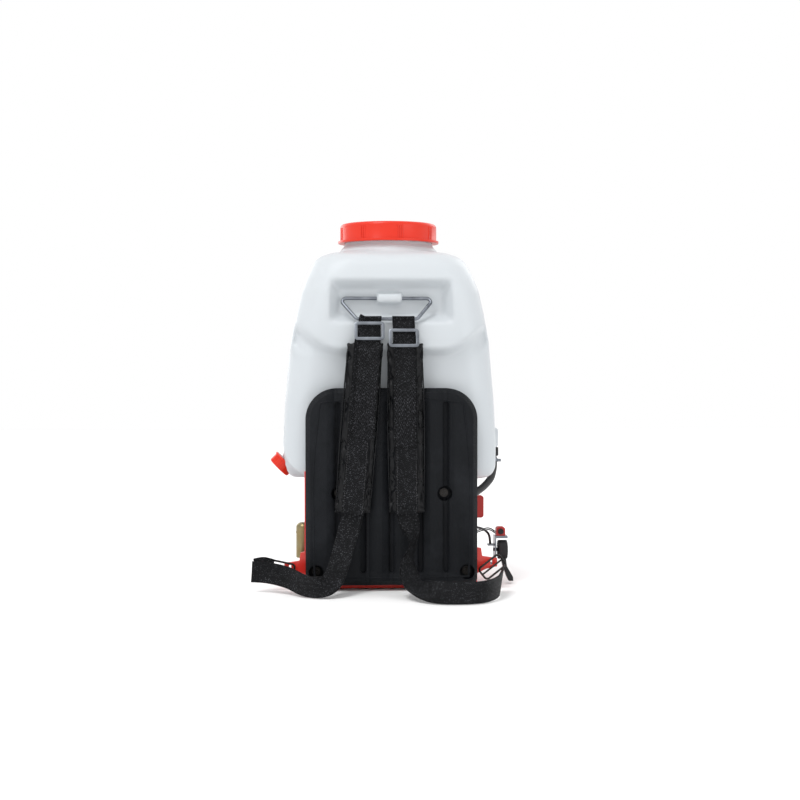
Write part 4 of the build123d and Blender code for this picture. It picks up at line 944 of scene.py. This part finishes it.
def straps():
    """Both shoulder straps with their pads, edges, webbing and stitches, and the lower straps."""
    sides = (
        ("left", LEFT_STRAP, -36.5 * MM, 264 * MM, 7 * MM),
        ("right", RIGHT_STRAP, 20 * MM, 250 * MM, -2 * MM),
    )
    for side, strap, x_top, tail_z, aside in sides:
        shoulder_pad(side + "_pad", side + "_shoulder_pad", strap)
        pad_piping(side + "_pad_piping", strap)
        loop = webbing_loop(side + "_webbing_loop", strap, x_top, tail_z, aside)
        sewn_webbing(side + "_webbing_sewn", strap)
        if side == "left":
            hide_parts("shoulder_webbings")
        lift = PAD_THICK / 2 + 2.3 * MM
        for edge in (-1, 1):
            stitches(f"{side}_stitches_{edge + 1}", strap, edge * 16.4 * MM, STRAP_LOW_Z + 4 * MM,
                     tail_z - 4 * MM, lift)
    adjuster = buckle("left_adjuster", (-38.5, -157.2, 447), 16.0)
    buckle("right_adjuster", (20.0, -160.2, 435), 16.0)
    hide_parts("shoulder_buckles")
    left = lower_webbing("left_lower_strap", LEFT_LOWER)
    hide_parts("left_lower_webbing")
    end = band("left_strap_end", LEFT_END, 22 * MM, 2.0 * MM, rows=30, crown=0.6)
    finish(end, "webbing_black", "frame")
    right = lower_webbing("right_lower_strap", RIGHT_LOWER)
    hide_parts("right_lower_webbing")


# ---- floor, lights and camera -------------------------------------------------------------------

def studio():
    """A pale floor and backdrop, soft studio light, and the camera."""
    floor = start(bpy.ops.mesh.primitive_plane_add, "floor", size=12.0)
    pale = Finish("pale_floor")
    mottled = pale.noise(2.0, 2.0)
    colour = pale.blend(mottled, tint(0.92, 0.92, 0.92), tint(0.94, 0.94, 0.94))
    floor.data.materials.append(pale.done(colour, 0.7))
    bpy.context.scene.view_settings.view_transform = "Standard"
    world = bpy.data.worlds.new("studio")
    bpy.context.scene.world = world
    world.use_nodes = True
    world.node_tree.nodes["Background"].inputs["Color"].default_value = (1, 1, 1, 1)
    world.node_tree.nodes["Background"].inputs["Strength"].default_value = 1.0
    lamps = (
        ("key", "SUN", (-0.9, -1.1, 3.0), 1.1, radians(20)),
        ("panel", "AREA", (-1.1, -1.7, 1.9), 7.0, 0.5),
        ("fill", "AREA", (1.9, -2.0, 0.9), 6.0, 1.0),
        ("rim", "AREA", (1.6, 1.8, 1.6), 9.0, 1.2),
        ("low_fill", "AREA", (-1.4, 2.0, 1.0), 9.0, 1.2),
    )
    for name, kind, place, power, size in lamps:
        lamp = bpy.data.lights.new(name, kind)
        lamp.energy = power
        setattr(lamp, "angle" if kind == "SUN" else "size", size)
        holder = bpy.data.objects.new(name, lamp)
        holder.location = place
        holder.rotation_euler = (Vector((0, 0, 0.3)) - Vector(place)).to_track_quat("-Z", "Y").to_euler()
        bpy.context.scene.collection.objects.link(holder)
    camera = bpy.data.cameras.new("camera")
    camera.lens = 67.5
    camera.sensor_width = 36.0
    eye = bpy.data.objects.new("camera", camera)
    eye.location = (-0.1232, -2.7122, 0.392)
    target = Vector((0.0217, -0.001, 0.3254))
    eye.rotation_euler = (target - eye.location).to_track_quat("-Z", "Y").to_euler()
    bpy.context.scene.collection.objects.link(eye)
    bpy.context.scene.camera = eye


studio()
tank_skin()
for node, width in SOFT.items():
    softened(node, width * MM)
pad_rim()
straps()
